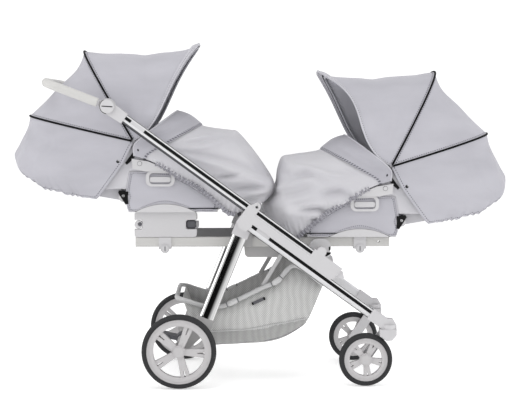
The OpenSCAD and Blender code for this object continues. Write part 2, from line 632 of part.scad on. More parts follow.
// A hood bow: a round rod bent to an arch through the side view's points, with an eye at each end
module bow_rod(path, half_w) {
    n = len(path);
    pts = [for (q = path) [q[0], half_w * q[2], q[1]]];
    r = bow_t / 2;
    polyhedron(points = [for (i = [0:n - 1]) let (t = pts[min(i + 1, n - 1)] - pts[max(i - 1, 0)],
            e = t / norm(t), s = [path[i][3], 0, path[i][4]], f = cross(e, s))
            each [for (j = [0:7]) pts[i] + r * cos(45 * j) * s + bow_flat / 2 * sin(45 * j) * f / norm(f)]],
        faces = tube_faces(n, 8), convexity = 6);
}
bow_n = 12;
bow_cols = [for (k = [0:2 * bow_n]) let (c = abs(k - bow_n) / bow_n) [90 - 89.55 * pow(c, 0.9), k < bow_n ? -1 : 1]];
inset = cloth_t + bow_t / 2 + 1.5;
function shrink(p) = let (v = p - hood_p) hood_p + v * (1 - (inset + 4) / max(norm(v), 40));
module straight_bow(tip, y0) {
    v = tip - hood_p;
    s = [-v[1], v[0]] / norm(v);
    bow_rod([for (c = bow_cols) let (q = rib(tip - inset * v / norm(v), c[0])) [q[0], q[1], c[1] * span(c[0]), s[0], s[1]]],
            y0 + 2);
    bow_eyes(y0);
}
module visor_bow(h, y0) {
    bow_rod([for (c = bow_cols) let (a = c[0], q = shrink(visor(h, a)),
                v = visor(h, min(a + 1, 90)) - visor(h, max(a - 1, 0.1)), s = [-v[1], v[0]] / norm(v))
                [q[0], q[1], c[1] * span(a), s[0], s[1]]], y0 + 2);
    bow_eyes(y0);
}
module bow_eyes(y0) { both() difference() { pin(hood_p, 11, y0, y0 + 4); pin(hood_p, 4 + run, y0 - 9, y0 + 9); } }
// Bows sit side by side on the hood pin, outside the tub's posts
bow_y = tub_half_w - 1 + slip;
bow_step = 4 + slip;

// Seat tub with its mounting crescents, backrest ears, hood posts and foot rest
tub_side = [[tub_rear - 12, 0], [tub_rear, 45], [449, tub_h], [308, tub_h], [tub_front, 30], [tub_front + 4, 0]];
module seat_tub(rest_u) {
    wi = tub_half_w - tub_wall;
    difference() {
        slab(-tub_half_w, tub_half_w) polygon(tub_side);
        slab(-wi, wi) polygon([[tub_rear - 20, 8], [tub_rear + 30, 44], [tub_rear + 30, 250], [tub_front - 30, 250],
                               [tub_front - 30, 20], [tub_front + 12, 8]]);
    }
    rest_z = 2 + 0.38 * (tub_front + 14 - rest_u);
    slab(25 - tub_half_w, tub_half_w - 25)
        polygon([[tub_front + 14, 2], [tub_front + 14, 10], [rest_u, rest_z + 8], [rest_u, rest_z]]);
    both() {
        slab(tub_half_w - 1, tub_half_w + 6) intersection() {
            translate([328, -180]) circle(207);
            translate([200, 0]) square([260, 60]);
        }
        slab(wi, tub_half_w) strip([446, recline_h], [recline_u, recline_h], 15);
        pin([recline_u, recline_h], 5, back_half_w - 7, tub_half_w - 1);
        slab(wi, tub_half_w - 1) strip([hood_p[0], tub_h - 20], hood_p, 12);
        pin(hood_p, 4, wi + 1, bow_y + 3 * bow_step + 0.4);
    }
}
// Cloth covers on the tub's sides
module side_cover() {
    both() slab(tub_half_w + 0.2, tub_half_w + 3.4) difference() {
        polygon([[tub_rear - 15, 2], [tub_rear - 4, 45], [447, tub_h - 2], [310, tub_h - 2], [tub_front + 4, 30],
                 [tub_front + 8, 2]]);
        translate([328, -180]) circle(209);
        translate([recline_u, recline_h]) circle(19);
    }
}
// Carrying rings and bumper arms on the tub's sides
ring_c = [344.5, 113.5];
module side_ring() {
    both() slab(tub_half_w + 3.7, tub_half_w + 11) difference() {
        translate(ring_c) rounded(97, 53, 20);
        translate(ring_c) rounded(73, 37, 12);
    }
}
module side_fittings() {
    both() {
        slab(tub_half_w + 11.4, tub_half_w + 18) polygon([[440, 181], [437, 148], [395, 138], [314, 139], [330, 150],
                                                          [385, 172]]);
        pin([413, 165], 7, tub_half_w + 10.5, tub_half_w + 19.4);
    }
}
// Release paddle inside a carrying ring
module paddle() { slab(tub_half_w + 3.7, tub_half_w + 9.5) translate(ring_c - [0, 3]) rounded(70, 18, 6); }
// Cushion with a crowned top on a flat base
module pillow(u0, u1, half_w, z0, h) {
    n = 12;
    polyhedron(points = concat(
        [for (i = [0:n], j = [0:n]) let (x = 2 * i / n - 1, y = 2 * j / n - 1)
            [u0 + (u1 - u0) * i / n, half_w * y, z0 + 5 + (h - 5) * pow((1 - pow(x, 4)) * (1 - pow(y, 4)), 0.4)]],
        [for (i = [0:n], j = [0:n]) [u0 + (u1 - u0) * i / n, half_w * (2 * j / n - 1), z0]]),
        faces = sheet_faces(n + 1, n + 1), convexity = 3);
}
module seat_cushion() { pillow(tub_front + 22, tub_rear - 32, tub_half_w - tub_wall - 4, 8.3, 46); }
// Backrest tray on its pivots, and its cushion, drawn level and tipped by the rise
module back_place() { translate([recline_u, 0, recline_h]) rotate([0, -back_rise, 0]) children(); }
module back_tray() {
    l = back_length;
    back_place() difference() {
        union() {
            both() slab(back_half_w - 6, back_half_w) {
                circle(12);
                polygon([[0, -12], [l, -12], [l, 34], [160, 54], [55, 60], [0, 12]]);
            }
            slab(-back_half_w, back_half_w) {
                polygon([[9, -12], [l, -12], [l, -4], [9, -4]]);
                polygon([[l - 7, -12], [l, -12], [l, 36], [l - 7, 36]]);
            }
        }
        both() pin([0, 0], 5 + run, back_half_w - 20, back_half_w + 5);
    }
}
module back_cushion() { back_place() pillow(24, back_length - 9, back_half_w - 9, -3.7, 40); }

// Foot cover: stations from the folded-back flap to the foot end, each with its top, shoulder and lower edge
foot_rear = [[[291, 338], [434, 230], [430, 190], 217], [[250, 322], [415, 210], [410, 186], 217],
    [[207, 292], [385, 196], [392, 180], 219.2], [[170, 283], [325, 182], [342, 157], 219.2],
    [[131, 278], [250, 165], [280, 118], 217], [[105, 275], [190, 150], [215, 82], 211],
    [[82, 269], [135, 130], [148, 26], 209], [[35, 216], [75, 100], [105, -6], 204], [[-12, 151], [15, 85], [40, 15], 194],
    [[-38, 108], [-22, 75], [-5, 32], 165], [[-45, 86], [-42, 73], [-35, 57], 110], [[-46, 76], [-45, 71], [-44, 66], 40]];
foot_front = [[[291, 338], [434, 230], [430, 190], 217], [[250, 322], [415, 210], [410, 186], 217],
    [[207, 292], [385, 196], [392, 180], 219.2], [[170, 283], [325, 182], [342, 157], 219.2],
    [[131, 278], [250, 165], [280, 118], 217], [[105, 274], [190, 150], [215, 82], 211],
    [[72, 266], [130, 130], [148, 26], 209], [[57, 228], [88, 112], [108, -6], 204], [[53, 190], [62, 106], [78, 16], 194],
    [[51, 152], [34, 104], [52, 36], 165], [[27, 129], [12, 103], [24, 60], 110], [[5, 114], [2, 103], [6, 88], 40]];
// Columns of a cover's panel: angle over the arch, side, and share of the way down from the shoulder to the lower edge
foot_seam = 40;
foot_gap = 0.06;
foot_top_cols = [for (k = [-6:6]) [90 - (90 - foot_seam - foot_gap) * abs(k) / 6, k < 0 ? -1 : 1, 0]];
foot_side_cols = concat([for (k = [0:5]) [(foot_seam - foot_gap) * pow(1 - k / 5, 1.3), 1, 0]], [[0, 1, 1]]);
module foot_panel(st, cols) {
    n = len(st);
    m = len(cols);
    widen = (tub_half_w + 22) / 217;
    outer = [for (i = [0:n - 1]) [for (c = cols) let (s = st[i], a = c[0], q = s[1] + rise(a) * (s[0] - s[1]),
        p = c[2] == 1 ? s[2] : q) [p[0], c[1] * (widen * s[3] - 3 * c[2]) * span(a), p[1]]]];
    nrm = [for (i = [0:n - 1]) let (v = st[min(i + 1, n - 1)][0] - st[max(i - 1, 0)][0]) [v[1], -v[0]] / norm(v)];
    inner = [for (i = [0:n - 1]) [for (j = [0:m - 1]) let (q = outer[i][j], c = cols[j], k = cloth_t * sin(c[0]))
        [q[0] - k * nrm[i][0], q[1] - c[1] * cloth_t * cos(c[0]), q[2] - k * nrm[i][1]]]];
    polyhedron(points = concat([for (r = outer) each r], [for (r = inner) each r]), faces = sheet_faces(n, m),
               convexity = 6);
}
module foot_cover_shape(st) {
    foot_panel(st, foot_top_cols);
    both() foot_panel(st, foot_side_cols);
}

// Named pieces of the two seat units
module seat_side_covers() { color("#c5c4cc") both_seats() side_cover(); }
module carry_rings() { color("#dcdbdd") both_seats() side_ring(); }
module seat_fittings() { color("#dcdbdd") both_seats() side_fittings(); }
module seat_pads() { color("#c9c9ce") both_seats() seat_cushion(); }
module hood_back_bows() {
    color("#2a2a2c") rear_place() straight_bow(hood_rear[0], bow_y);
    color("#2a2a2c") front_place() straight_bow(hood_front[0], bow_y);
}
module rear_seat_tub() { color("#d3d2d4") rear_place() seat_tub(4); }
module rear_seat_paddle_left() { color("#e2e1e3") rear_place() paddle(); }
module rear_seat_paddle_right() { color("#e2e1e3") rear_place() mirror([0, 1, 0]) paddle(); }
module rear_seat_backrest() { color("#c5c4cc") rear_place() back_tray(); }
module rear_seat_back_pad() { color("#c9c9ce") rear_place() back_cushion(); }
module rear_seat_foot_cover() { color("#cfcfd3") rear_place() foot_cover_shape(foot_rear); }
module rear_seat_bow_middle() { color("#2a2a2c") rear_place() straight_bow(hood_rear[1], bow_y + bow_step); }
module rear_seat_bow_front() { color("#2a2a2c") rear_place() visor_bow(hood_rear, bow_y + 2 * bow_step); }
module rear_seat_hood_back() { color("#c5c4cc") rear_place() hood_back_shape(hood_rear); }
module rear_seat_hood_middle() { color("#c5c4cc") rear_place() hood_middle_shape(hood_rear); }
module rear_seat_hood_front() { color("#c5c4cc") rear_place() hood_front_shape(hood_rear); }
module front_seat_tub() { color("#d3d2d4") front_place() seat_tub(96); }
module front_seat_paddle_left() { color("#e2e1e3") front_place() paddle(); }
module front_seat_paddle_right() { color("#e2e1e3") front_place() mirror([0, 1, 0]) paddle(); }
module front_seat_backrest() { color("#c5c4cc") front_place() back_tray(); }
module front_seat_back_pad() { color("#c9c9ce") front_place() back_cushion(); }
module front_seat_foot_cover() { color("#cfcfd3") front_place() foot_cover_shape(foot_front); }
module front_seat_bow_middle() { color("#2a2a2c") front_place() straight_bow(hood_front[1], bow_y + bow_step); }
module front_seat_bow_front() { color("#2a2a2c") front_place() visor_bow(hood_front, bow_y + 2 * bow_step); }
module front_seat_hood_back() { color("#c5c4cc") front_place() hood_back_shape(hood_front); }
module front_seat_hood_middle() { color("#c5c4cc") front_place() hood_middle_shape(hood_front); }
module front_seat_hood_front() { color("#c5c4cc") front_place() hood_front_shape(hood_front); }

frame_housings();
front_legs();
front_feet();
cross_tubes();
cross_carrier();
seat_rails();
rail_supports();
raised_adapters();
rail_clamps();
clamp_knobs();
basket();
basket_rim();
handle_tubes();
handle_hinges();
handle_bar();
handle_grip();
handle_button_left();
handle_button_right();
rear_leg_tubes();
rear_leg_sockets();
rear_axle();
brake_pedal();
rear_rim_left();
rear_rim_right();
rear_tyre_left();
rear_tyre_right();
front_rim_left();
front_rim_right();
front_tyre_left();
front_tyre_right();
caster_left();
caster_right();
seat_side_covers();
carry_rings();
seat_fittings();
seat_pads();
hood_back_bows();
rear_seat_tub();
rear_seat_paddle_left();
rear_seat_paddle_right();
rear_seat_backrest();
rear_seat_back_pad();
rear_seat_foot_cover();
rear_seat_bow_middle();
rear_seat_bow_front();
rear_seat_hood_back();
rear_seat_hood_middle();
rear_seat_hood_front();
front_seat_tub();
front_seat_paddle_left();
front_seat_paddle_right();
front_seat_backrest();
front_seat_back_pad();
front_seat_foot_cover();
front_seat_bow_middle();
front_seat_bow_front();
front_seat_hood_back();
front_seat_hood_middle();
front_seat_hood_front();
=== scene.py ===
"""Tandem twin pram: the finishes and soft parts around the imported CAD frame.

Shapes are written in millimetres and stored in metres, in the CAD frame: +X forwards, +Y to the pram's left, +Z up.
A seat unit has its own frame: u runs from the pram's middle to the seat's head end, and z up from the tub's base.
"""
import math

import bpy
import numpy as np
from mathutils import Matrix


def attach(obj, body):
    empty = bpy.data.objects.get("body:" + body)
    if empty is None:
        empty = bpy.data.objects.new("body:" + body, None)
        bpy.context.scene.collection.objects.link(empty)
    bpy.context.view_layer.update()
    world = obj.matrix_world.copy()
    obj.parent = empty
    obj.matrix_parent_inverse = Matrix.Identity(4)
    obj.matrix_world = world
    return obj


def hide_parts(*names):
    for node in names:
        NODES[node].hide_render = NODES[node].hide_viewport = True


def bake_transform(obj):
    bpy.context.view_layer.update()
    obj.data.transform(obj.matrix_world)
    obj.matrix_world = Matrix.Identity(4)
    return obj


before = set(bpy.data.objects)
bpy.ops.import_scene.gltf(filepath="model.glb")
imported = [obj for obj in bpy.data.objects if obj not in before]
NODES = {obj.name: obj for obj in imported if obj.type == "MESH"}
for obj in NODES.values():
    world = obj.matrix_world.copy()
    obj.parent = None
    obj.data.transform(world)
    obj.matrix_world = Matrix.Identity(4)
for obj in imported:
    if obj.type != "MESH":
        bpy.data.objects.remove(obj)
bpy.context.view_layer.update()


# Materials

def linear(hexcode):
    """sRGB hex colour as linear values with alpha 1."""
    c = np.array([int(hexcode[i:i + 2], 16) for i in (1, 3, 5)]) / 255
    return (*np.where(c <= 0.04045, c / 12.92, ((c + 0.055) / 1.055) ** 2.4).tolist(), 1.0)


def add_node(mat, kind, settings=None, to=(), src=()):
    """One shader node of a kind, named without its prefix: socket values or properties, links out as (output, node,
    input), and links in as (node, output, input)."""
    n = mat.node_tree.nodes.new("ShaderNode" + kind)
    for key, value in (settings or {}).items():
        if isinstance(key, int) or key in n.inputs:
            n.inputs[key].default_value = value
        else:
            setattr(n, key, value)
    for out, other, sock in to:
        mat.node_tree.links.new(n.outputs[out], other.inputs[sock])
    for other, out, sock in src:
        mat.node_tree.links.new(other.outputs[out], n.inputs[sock])
    return n


def material(name, colour, rough, metal=0.0, **extra):
    """A Principled material and its shader; extra names are sockets of the shader."""
    mat = bpy.data.materials.new(name)
    mat.use_nodes = True
    shader = mat.node_tree.nodes["Principled BSDF"]
    values = {"Base Color": linear(colour), "Roughness": rough, "Metallic": metal}
    values.update({k.replace("_", " "): v for k, v in extra.items()})
    for key, value in values.items():
        shader.inputs[key].default_value = value
    return mat, shader


# A texture's scale times a size in millimetres: bands along an axis, diagonal bands, and a noise's patches
BANDS, SLANTS, PATCHES = 314.0, 628.0, 1000.0


def canvas(name, colour, shade, thread_mm, depth, stitch=(9.0, 1.5, 4.0)):
    """Woven cloth. Two crossed waves at the thread's spacing are the bump, and a slow noise, drawn out along a slant,
    turns the colour a little towards the shade colour in streaks: painted shade of soft folds, partly tone that differs
    at random. A line of stitches runs at a set distance from the hem, read from the piece's edge and run attributes;
    stitch gives its distance, half width and half spacing in millimetres."""
    mat, shader = material(name, colour, 0.88, Sheen_Weight=0.12, Sheen_Roughness=0.5, Specular_IOR_Level=0.18)
    coord = add_node(mat, "TexCoord")
    # The slow slanted noise turns the colour towards shade in streaks: painted shade of soft folds, partly random tone
    last = fold_shaded = add_node(mat, "Mix", {"data_type": "RGBA", 6: linear(colour), 7: linear(shade)})
    lain = add_node(mat, "Mapping", {"Rotation": (0.0, 0.6, 0.0), "Scale": (0.45, 1.0, 1.5)},
                    src=[(coord, "Object", 0)])
    slow = add_node(mat, "TexNoise", {"Scale": PATCHES / 120, "Detail": 3.0}, src=[(lain, "Vector", "Vector")])
    add_node(mat, "MapRange", {"From Min": 0.35, "From Max": 0.72}, [("Result", fold_shaded, 0)],
             [(slow, "Fac", "Value")])
    height = add_node(mat, "Math", {"operation": "ADD"})
    for k, axis in enumerate(("X", "Z")):
        add_node(mat, "TexWave", {"Scale": BANDS / thread_mm, "bands_direction": axis, "Distortion": 0.6},
                 [("Fac", height, k)], [(coord, "Object", "Vector")])
    if stitch:
        away, half, dash_mm = stitch
        edge = add_node(mat, "Attribute", {"attribute_name": "edge"})
        run = add_node(mat, "Attribute", {"attribute_name": "run"})
        off = add_node(mat, "Math", {"operation": "SUBTRACT", 1: away}, src=[(edge, "Fac", 0)])
        far = add_node(mat, "Math", {"operation": "ABSOLUTE"}, src=[(off, "Value", 0)])
        near = add_node(mat, "Math", {"operation": "LESS_THAN", 1: half}, src=[(far, "Value", 0)])
        dash = add_node(mat, "Math", {"operation": "PINGPONG", 1: dash_mm}, src=[(run, "Fac", 0)])
        on = add_node(mat, "Math", {"operation": "LESS_THAN", 1: 0.55 * dash_mm}, src=[(dash, "Value", 0)])
        both = add_node(mat, "Math", {"operation": "MULTIPLY"}, src=[(near, "Value", 0), (on, "Value", 1)])
        last = add_node(mat, "Mix", {"data_type": "RGBA", 7: linear("#66666E")},
                        src=[(both, "Value", 0), (fold_shaded, 2, 6)])
        height = add_node(mat, "Math", {"operation": "MULTIPLY_ADD", 1: -3.0},
                          src=[(both, "Value", 0), (height, "Value", 2)])
    mat.node_tree.links.new(last.outputs[2], shader.inputs["Base Color"])
    add_node(mat, "Bump", {"Strength": depth, "Distance": 0.0006}, [("Normal", shader, "Normal")],
             [(height, "Value", "Height")])
    return mat


def netting(name, colour, hole, pitch_mm):
    """Net of crossed threads: two waves along the two diagonals of the side view at the net's pitch, the thread's
    colour where either is high and the hole's where both are low, with the same pattern as bump, and faint upright
    streaks where the net lies closer."""
    mat, shader = material(name, colour, 0.8, Specular_IOR_Level=0.2, Sheen_Weight=0.1)
    coord = add_node(mat, "TexCoord")
    high = add_node(mat, "Math", {"operation": "MAXIMUM"})
    for k, slant in enumerate((1.0, -0.8)):
        turned = add_node(mat, "Mapping", {"Scale": (1.0, 0.3, slant)}, src=[(coord, "Object", "Vector")])
        add_node(mat, "TexWave", {"Scale": SLANTS / pitch_mm, "bands_direction": "DIAGONAL", "Distortion": 0.4},
                 [("Fac", high, k)], [(turned, "Vector", "Vector")])
    open_part = add_node(mat, "MapRange", {"From Min": 0.35, "From Max": 0.8, "To Min": 1.0, "To Max": 0.0},
                         src=[(high, "Value", "Value")])
    streak = add_node(mat, "TexWave", {"Scale": BANDS / 24, "bands_direction": "X", "Distortion": 8.0, "Detail": 2.0,
                                       "Detail Scale": 0.6}, src=[(coord, "Object", "Vector")])
    dark = add_node(mat, "Math", {"operation": "MULTIPLY_ADD", 1: 0.3},
                    src=[(streak, "Fac", 0), (open_part, "Result", 2)])
    add_node(mat, "Mix", {"data_type": "RGBA", 6: linear(colour), 7: linear(hole)},
             [(2, shader, "Base Color")], [(dark, "Value", 0)])
    add_node(mat, "Bump", {"Strength": 0.4, "Distance": 0.0008},
             [("Normal", shader, "Normal")], [(high, "Value", "Height")])
    return mat


def moulded(name, colour, rough, grain_mm, depth, metal=0.0, wear=0.06, **extra):
    """A moulded, painted or plated surface: a fine grain as bump, and a slow noise that varies the roughness."""
    mat, shader = material(name, colour, rough, metal, **extra)
    coord = add_node(mat, "TexCoord")
    grain = add_node(mat, "TexNoise", {"Scale": PATCHES / grain_mm, "Detail": 2.0},
                     src=[(coord, "Object", "Vector")])
    add_node(mat, "Bump", {"Strength": depth, "Distance": 0.0004}, [("Normal", shader, "Normal")],
             [(grain, "Fac", "Height")])
    slow = add_node(mat, "TexNoise", {"Scale": PATCHES / 45, "Detail": 4.0}, src=[(coord, "Object", "Vector")])
    add_node(mat, "MapRange", {"To Min": rough - wear, "To Max": rough + wear},
             [("Result", shader, "Roughness")], [(slow, "Fac", "Value")])
    return mat


# Polyester canvas of the hoods and sides: a matt, faintly lavender grey with a fine weave; its stitches are drawn
# coarser than the real ones, so that they show
HOOD = canvas("polyester hood canvas", "#B9B8BF", "#AFAEB5", 2.4, 0.30)
# Lighter canvas of the foot covers
COVER = canvas("polyester cover canvas", "#CAC9CD", "#C1C0C5", 2.4, 0.30)
# Darker canvas of the flap, which shows the cloth's other side, with a zip's teeth along its lower edge, drawn coarser
FLAP = canvas("polyester flap canvas", "#B3B2B9", "#AAA9B0", 2.4, 0.30, (5.0, 4.0, 5.0))
# Bound hem of the hoods' front rims, lighter than the panels
HEM = canvas("polyester hem canvas", "#C1C0C6", "#B8B7BD", 2.4, 0.30, (9.0, 1.0, 4.0))
# Polyester lining inside the hoods
LINING = canvas("polyester hood lining", "#BCBCC2", "#B4B4BA", 2.0, 0.25, None)
# Gathered cloth on the foot covers' elastic: its darker colour and much darker second tone are painted shade of the
# gathers' hollows
SHADED_RUFFLE = canvas("gathered polyester canvas in painted shade", "#AEADB4", "#8B8A91", 2.4, 0.30, None)
# Quilted cotton of the cushions
COTTON = canvas("cotton cushion cloth", "#C6C6CB", "#B9B9BF", 2.6, 0.35, None)
# Canvas of the basket's rim sleeve, straps and hems
SLEEVE = canvas("polyester sleeve canvas", "#BFBFBF", "#B4B4B5", 2.4, 0.30, None)
# Lighter cuffs on the rim sleeve
CUFF = canvas("polyester cuff canvas", "#CBCBCB", "#C0C0C0", 2.4, 0.30, None)
# Open polyester mesh of the basket: drawn at 7 mm, coarser than the real net, so that it shows
MESH = netting("polyester basket mesh", "#CECECD", "#A2A2A1", 7.0)
# Closer mesh of the basket's lower band
BAND = netting("close polyester basket mesh", "#B0B0AF", "#8A8A89", 5.0)
# Black corded piping in the hoods' seams
PIPING = moulded("black piping cord", "#0E0E10", 0.7, 1.2, 0.5, Specular_IOR_Level=0.15)
# White moulded polypropylene: soft gloss and a fine spark texture
WHITE = moulded("white moulded polypropylene", "#C6C5C7", 0.36, 0.9, 0.05)
# Grey moulded nylon under the seats
GREY = moulded("grey moulded nylon", "#A9A8A8", 0.45, 0.9, 0.06)
# Slate grey on the inner faces of the seat rails: painted shade, as they lie in shade under the seats
PAINTED_RAIL_SHADE = moulded("slate grey painted shade of the seat rails", "#7E7E7F", 0.45, 0.9, 0.06)
# Lighter grey nylon of the adapters and clamps
PALE = moulded("pale grey moulded nylon", "#C2C1C3", 0.4, 0.9, 0.05)
# Dark grey binding tape inside the hoods' rims
TAPE = moulded("grey binding tape", "#39393C", 0.8, 1.2, 0.4, Specular_IOR_Level=0.15)
# Dark moulded nylon of the brake pedal and the catches
DARK = moulded("dark moulded nylon", "#55555A", 0.5, 0.9, 0.1)
# Black plastic strips and brackets, half gloss; the same black also paints shade: the shadow gaps under the side
# covers and along the skirts, the arcs beside the hinge buttons, and the rails' dark edge lines
BLACK = moulded("black moulded nylon", "#0E0E10", 0.4, 0.9, 0.05, Specular_IOR_Level=0.25)
# Black painted spring-steel hood bows
ROD = moulded("black painted steel rod", "#202023", 0.45, 0.9, 0.05)
# Light grey powder coat of the seat rails and cross tubes
RAIL = moulded("grey powder-coated steel", "#C0BFBD", 0.42, 1.1, 0.08)
# Chromed aluminium tube: a clean mirror whose roughness hardly varies
CHROME = moulded("chromed aluminium", "#EDEDED", 0.045, 3.0, 0.0, 1.0, 0.015)
# Satin anodised aluminium of the rails: bright and even, with a soft sheen
SATIN = moulded("satin anodised aluminium", "#E2E2E4", 0.3, 3.0, 0.01, 0.2, 0.03)
# Zinc-plated steel of the screws and snaps
STEEL = moulded("zinc-plated steel", "#C9C9CB", 0.25, 1.0, 0.05, 1.0)
# Dark grey foamed rubber tyres: matt with a dusty grain
TYRE = moulded("foamed tyre rubber", "#2A2A2C", 0.82, 0.9, 0.35)
# White nylon wheels
WHEEL = moulded("white moulded nylon wheel", "#BDBBBC", 0.4, 0.9, 0.05)
# Ivory leatherette of the grip: low pebble grain
LEATHER = moulded("ivory leatherette", "#C6C5C3", 0.5, 1.6, 0.3)


# Surfaces

def spline(points, x):
    """Points of a smooth curve through the rows of an array, at positions x counted in rows (Catmull-Rom cubics)."""
    p = np.asarray(points, float)
    x = np.asarray(x, float)
    i = np.clip(np.floor(x).astype(int), 0, len(p) - 2)
    f = (x - i)[..., None]
    a, b, c, d = (p[np.clip(i + k, 0, len(p) - 1)] for k in (-1, 0, 1, 2))
    return 0.5 * (2 * b + (c - a) * f + (2 * a - 5 * b + 4 * c - d) * f ** 2 + (3 * b - a - 3 * c + d) * f ** 3)


def travelled(p):
    """Length along a polyline up to each of its points."""
    return np.r_[0, np.cumsum(np.linalg.norm(np.diff(p, axis=0), axis=1))]


def even(points, n):
    """n points at equal steps of length along a polyline."""
    p = np.asarray(points, float)
    s = travelled(p)
    x = np.linspace(0, s[-1], n)
    return np.stack([np.interp(x, s, p[:, k]) for k in range(p.shape[1])], -1)


def normals(P):
    """Unit normals of a grid of points: the cross product of its differences along the rows and the columns."""
    n = np.cross(np.gradient(P, axis=0), np.gradient(P, axis=1))
    return n / np.maximum(np.linalg.norm(n, axis=2, keepdims=True), 1e-9)


def relaxed(P, times):
    """A grid smoothed along its rows: each inner point moves half way to the mean of its two neighbours in the row."""
    Q = P.copy()
    for _ in range(times):
        Q[:, 1:-1] = 0.5 * Q[:, 1:-1] + 0.25 * (Q[:, :-2] + Q[:, 2:])
    return Q


def mesh_object(name, verts, faces, mats, index=None, smooth=True, **attributes):
    """A mesh object at the origin from millimetre points, faces as index lists, and float attributes of the points."""
    me = bpy.data.meshes.new(name)
    me.from_pydata((np.asarray(verts) * 0.001).tolist(), [], faces if isinstance(faces, list) else faces.tolist())
    for m in mats:
        me.materials.append(m)
    me.polygons.foreach_set("use_smooth", np.full(len(me.polygons), smooth))
    if index is not None:
        me.polygons.foreach_set("material_index", np.asarray(index, np.int32))
    for key, value in attributes.items():
        me.attributes.new(key, "FLOAT", "POINT").data.foreach_set("value", np.asarray(value, np.float32).ravel())
    me.update()
    ob = bpy.data.objects.new(name, me)
    bpy.context.scene.collection.objects.link(ob)
    return ob


def quads(n, m, wrap_rows=False, wrap_cols=False):
    """Faces of an n by m grid of points, wrapped round where asked."""
    i, j = np.meshgrid(np.arange(n if wrap_rows else n - 1), np.arange(m if wrap_cols else m - 1), indexing="ij")
    k, l = (i + 1) % n, (j + 1) % m
    return np.stack([i * m + j, k * m + j, k * m + l, i * m + l], -1).reshape(-1, 4)


def border(n, m):
    """Indices round the border of an n by m grid of points, in order."""
    return np.concatenate([np.arange(m), np.arange(1, n) * m + m - 1, (n - 1) * m + np.arange(m - 2, -1, -1),
                           np.arange(n - 2, 0, -1) * m])


# Distance from a hem, in millimetres, that stands for no hem
NO_HEM = 999.0


def shell(name, P, t, mats, inside, edge=None, run=None):
    """A sheet of thickness t behind the grid P, closed along its edges: the grid, and the same grid moved in by t along
    its normals, which point away from the point or grid called inside."""
    n, m = P.shape[:2]
    N = normals(P)
    flip = np.sum(N * (P - np.asarray(inside, float))) < 0
    Q = P - t * (-N if flip else N)
    k = n * m
    f = quads(n, m)
    ring = border(n, m)
    nxt = np.roll(ring, -1)
    e = np.stack([ring, nxt, nxt + k, ring + k], -1)
    faces = np.concatenate([f, f[:, ::-1] + k, e])
    if flip:
        faces = faces[:, ::-1]
    index = np.concatenate([np.zeros(len(f)), np.full(len(f), len(mats) - 1), np.zeros(len(e))])
    far = np.full((n, m), NO_HEM) if edge is None else edge
    along = np.zeros((n, m)) if run is None else run
    return mesh_object(name, np.concatenate([P.reshape(-1, 3), Q.reshape(-1, 3)]), faces, mats, index,
                       edge=np.tile(far.ravel(), 2), run=np.tile(along.ravel(), 2))


def facing(ob):
    """Turns a closed mesh's faces outwards if its signed volume is negative."""
    me = ob.data
    me.calc_loop_triangles()
    tri = np.zeros(len(me.loop_triangles) * 3, np.int32)
    me.loop_triangles.foreach_get("vertices", tri)
    co = np.zeros(len(me.vertices) * 3)
    me.vertices.foreach_get("co", co)
    a, b, c = co.reshape(-1, 3)[tri.reshape(-1, 3).T]
    if np.sum(a * np.cross(b, c)) < 0:
        me.flip_normals()
    return ob


def rod(name, path, r, mat, sides=12, up=(0, 0, 1), closed=False, flat=1.0):
    """A rod along a path: a circle of radius r, one value or one per point, square to the path, with capped ends.
    flat scales the circle along the direction up."""
    p = np.asarray(path, float)
    n = len(p)
    t = np.roll(p, -1, 0) - np.roll(p, 1, 0) if closed else np.gradient(p, axis=0)
    t /= np.linalg.norm(t, axis=1, keepdims=True)
    a = np.asarray(up, float) - t * (t @ np.asarray(up, float))[:, None]
    a /= np.maximum(np.linalg.norm(a, axis=1, keepdims=True), 1e-9)
    b = np.cross(t, a)
    ang = np.linspace(0, 2 * np.pi, sides, endpoint=False)
    rr = np.broadcast_to(np.asarray(r, float), (n,))[:, None, None]
    V = p[:, None] + rr * (flat * np.cos(ang)[:, None] * a[:, None] + np.sin(ang)[:, None] * b[:, None])
    f = quads(n, sides, closed, True).tolist()
    if not closed:
        f += [list(range(sides)), list(range(n * sides - 1, (n - 1) * sides - 1, -1))]
    return facing(mesh_object(name, V.reshape(-1, 3), f, [mat]))


def centres(ob):
    """Middle points of a mesh's faces, in metres."""
    mid = np.zeros(len(ob.data.polygons) * 3)
    ob.data.polygons.foreach_get("center", mid)
    return mid.reshape(-1, 3)


def joined(name, *pieces):
    """Several pieces as one mesh object; materials and attributes are kept."""
    with bpy.context.temp_override(active_object=pieces[0], selected_editable_objects=list(pieces)):
        bpy.ops.object.join()
    pieces[0].name = pieces[0].data.name = name
    return pieces[0]


def fitted(ob, body, slot, *nodes):
    """Sets what a piece moves with, and hides the CAD nodes that it stands for. slot is not used."""
    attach(ob, body)
    if nodes:
        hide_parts(*nodes)
    return ob


# Camera and light

# The sensor's width in millimetres, and the focal length and the picture's width in pixels
SENSOR, FOCAL, PICTURE = 36, 1422, 520
# Colours that mirrored rays see, by the angle in degrees from the camera's back, above and in the dark area low down
MIRRORED_HIGH = [(-178, "#303030"), (-164, "#303030"), (-158, "#FFFFFF"), (-60, "#FFFFFF"), (0, "#F0F0F0"),
                 (60, "#FFFFFF"), (158, "#FFFFFF"), (166, "#404040"), (178, "#303030")]
MIRRORED_LOW = [(-178, "#303030"), (-164, "#303030"), (-158, "#E2E2E2"), (-30, "#E6E6E6"), (-14, "#9C9C9C"),
                (-4, "#141414"), (29, "#080808"), (33, "#C8C8C8"), (158, "#E6E6E6"), (166, "#303030")]


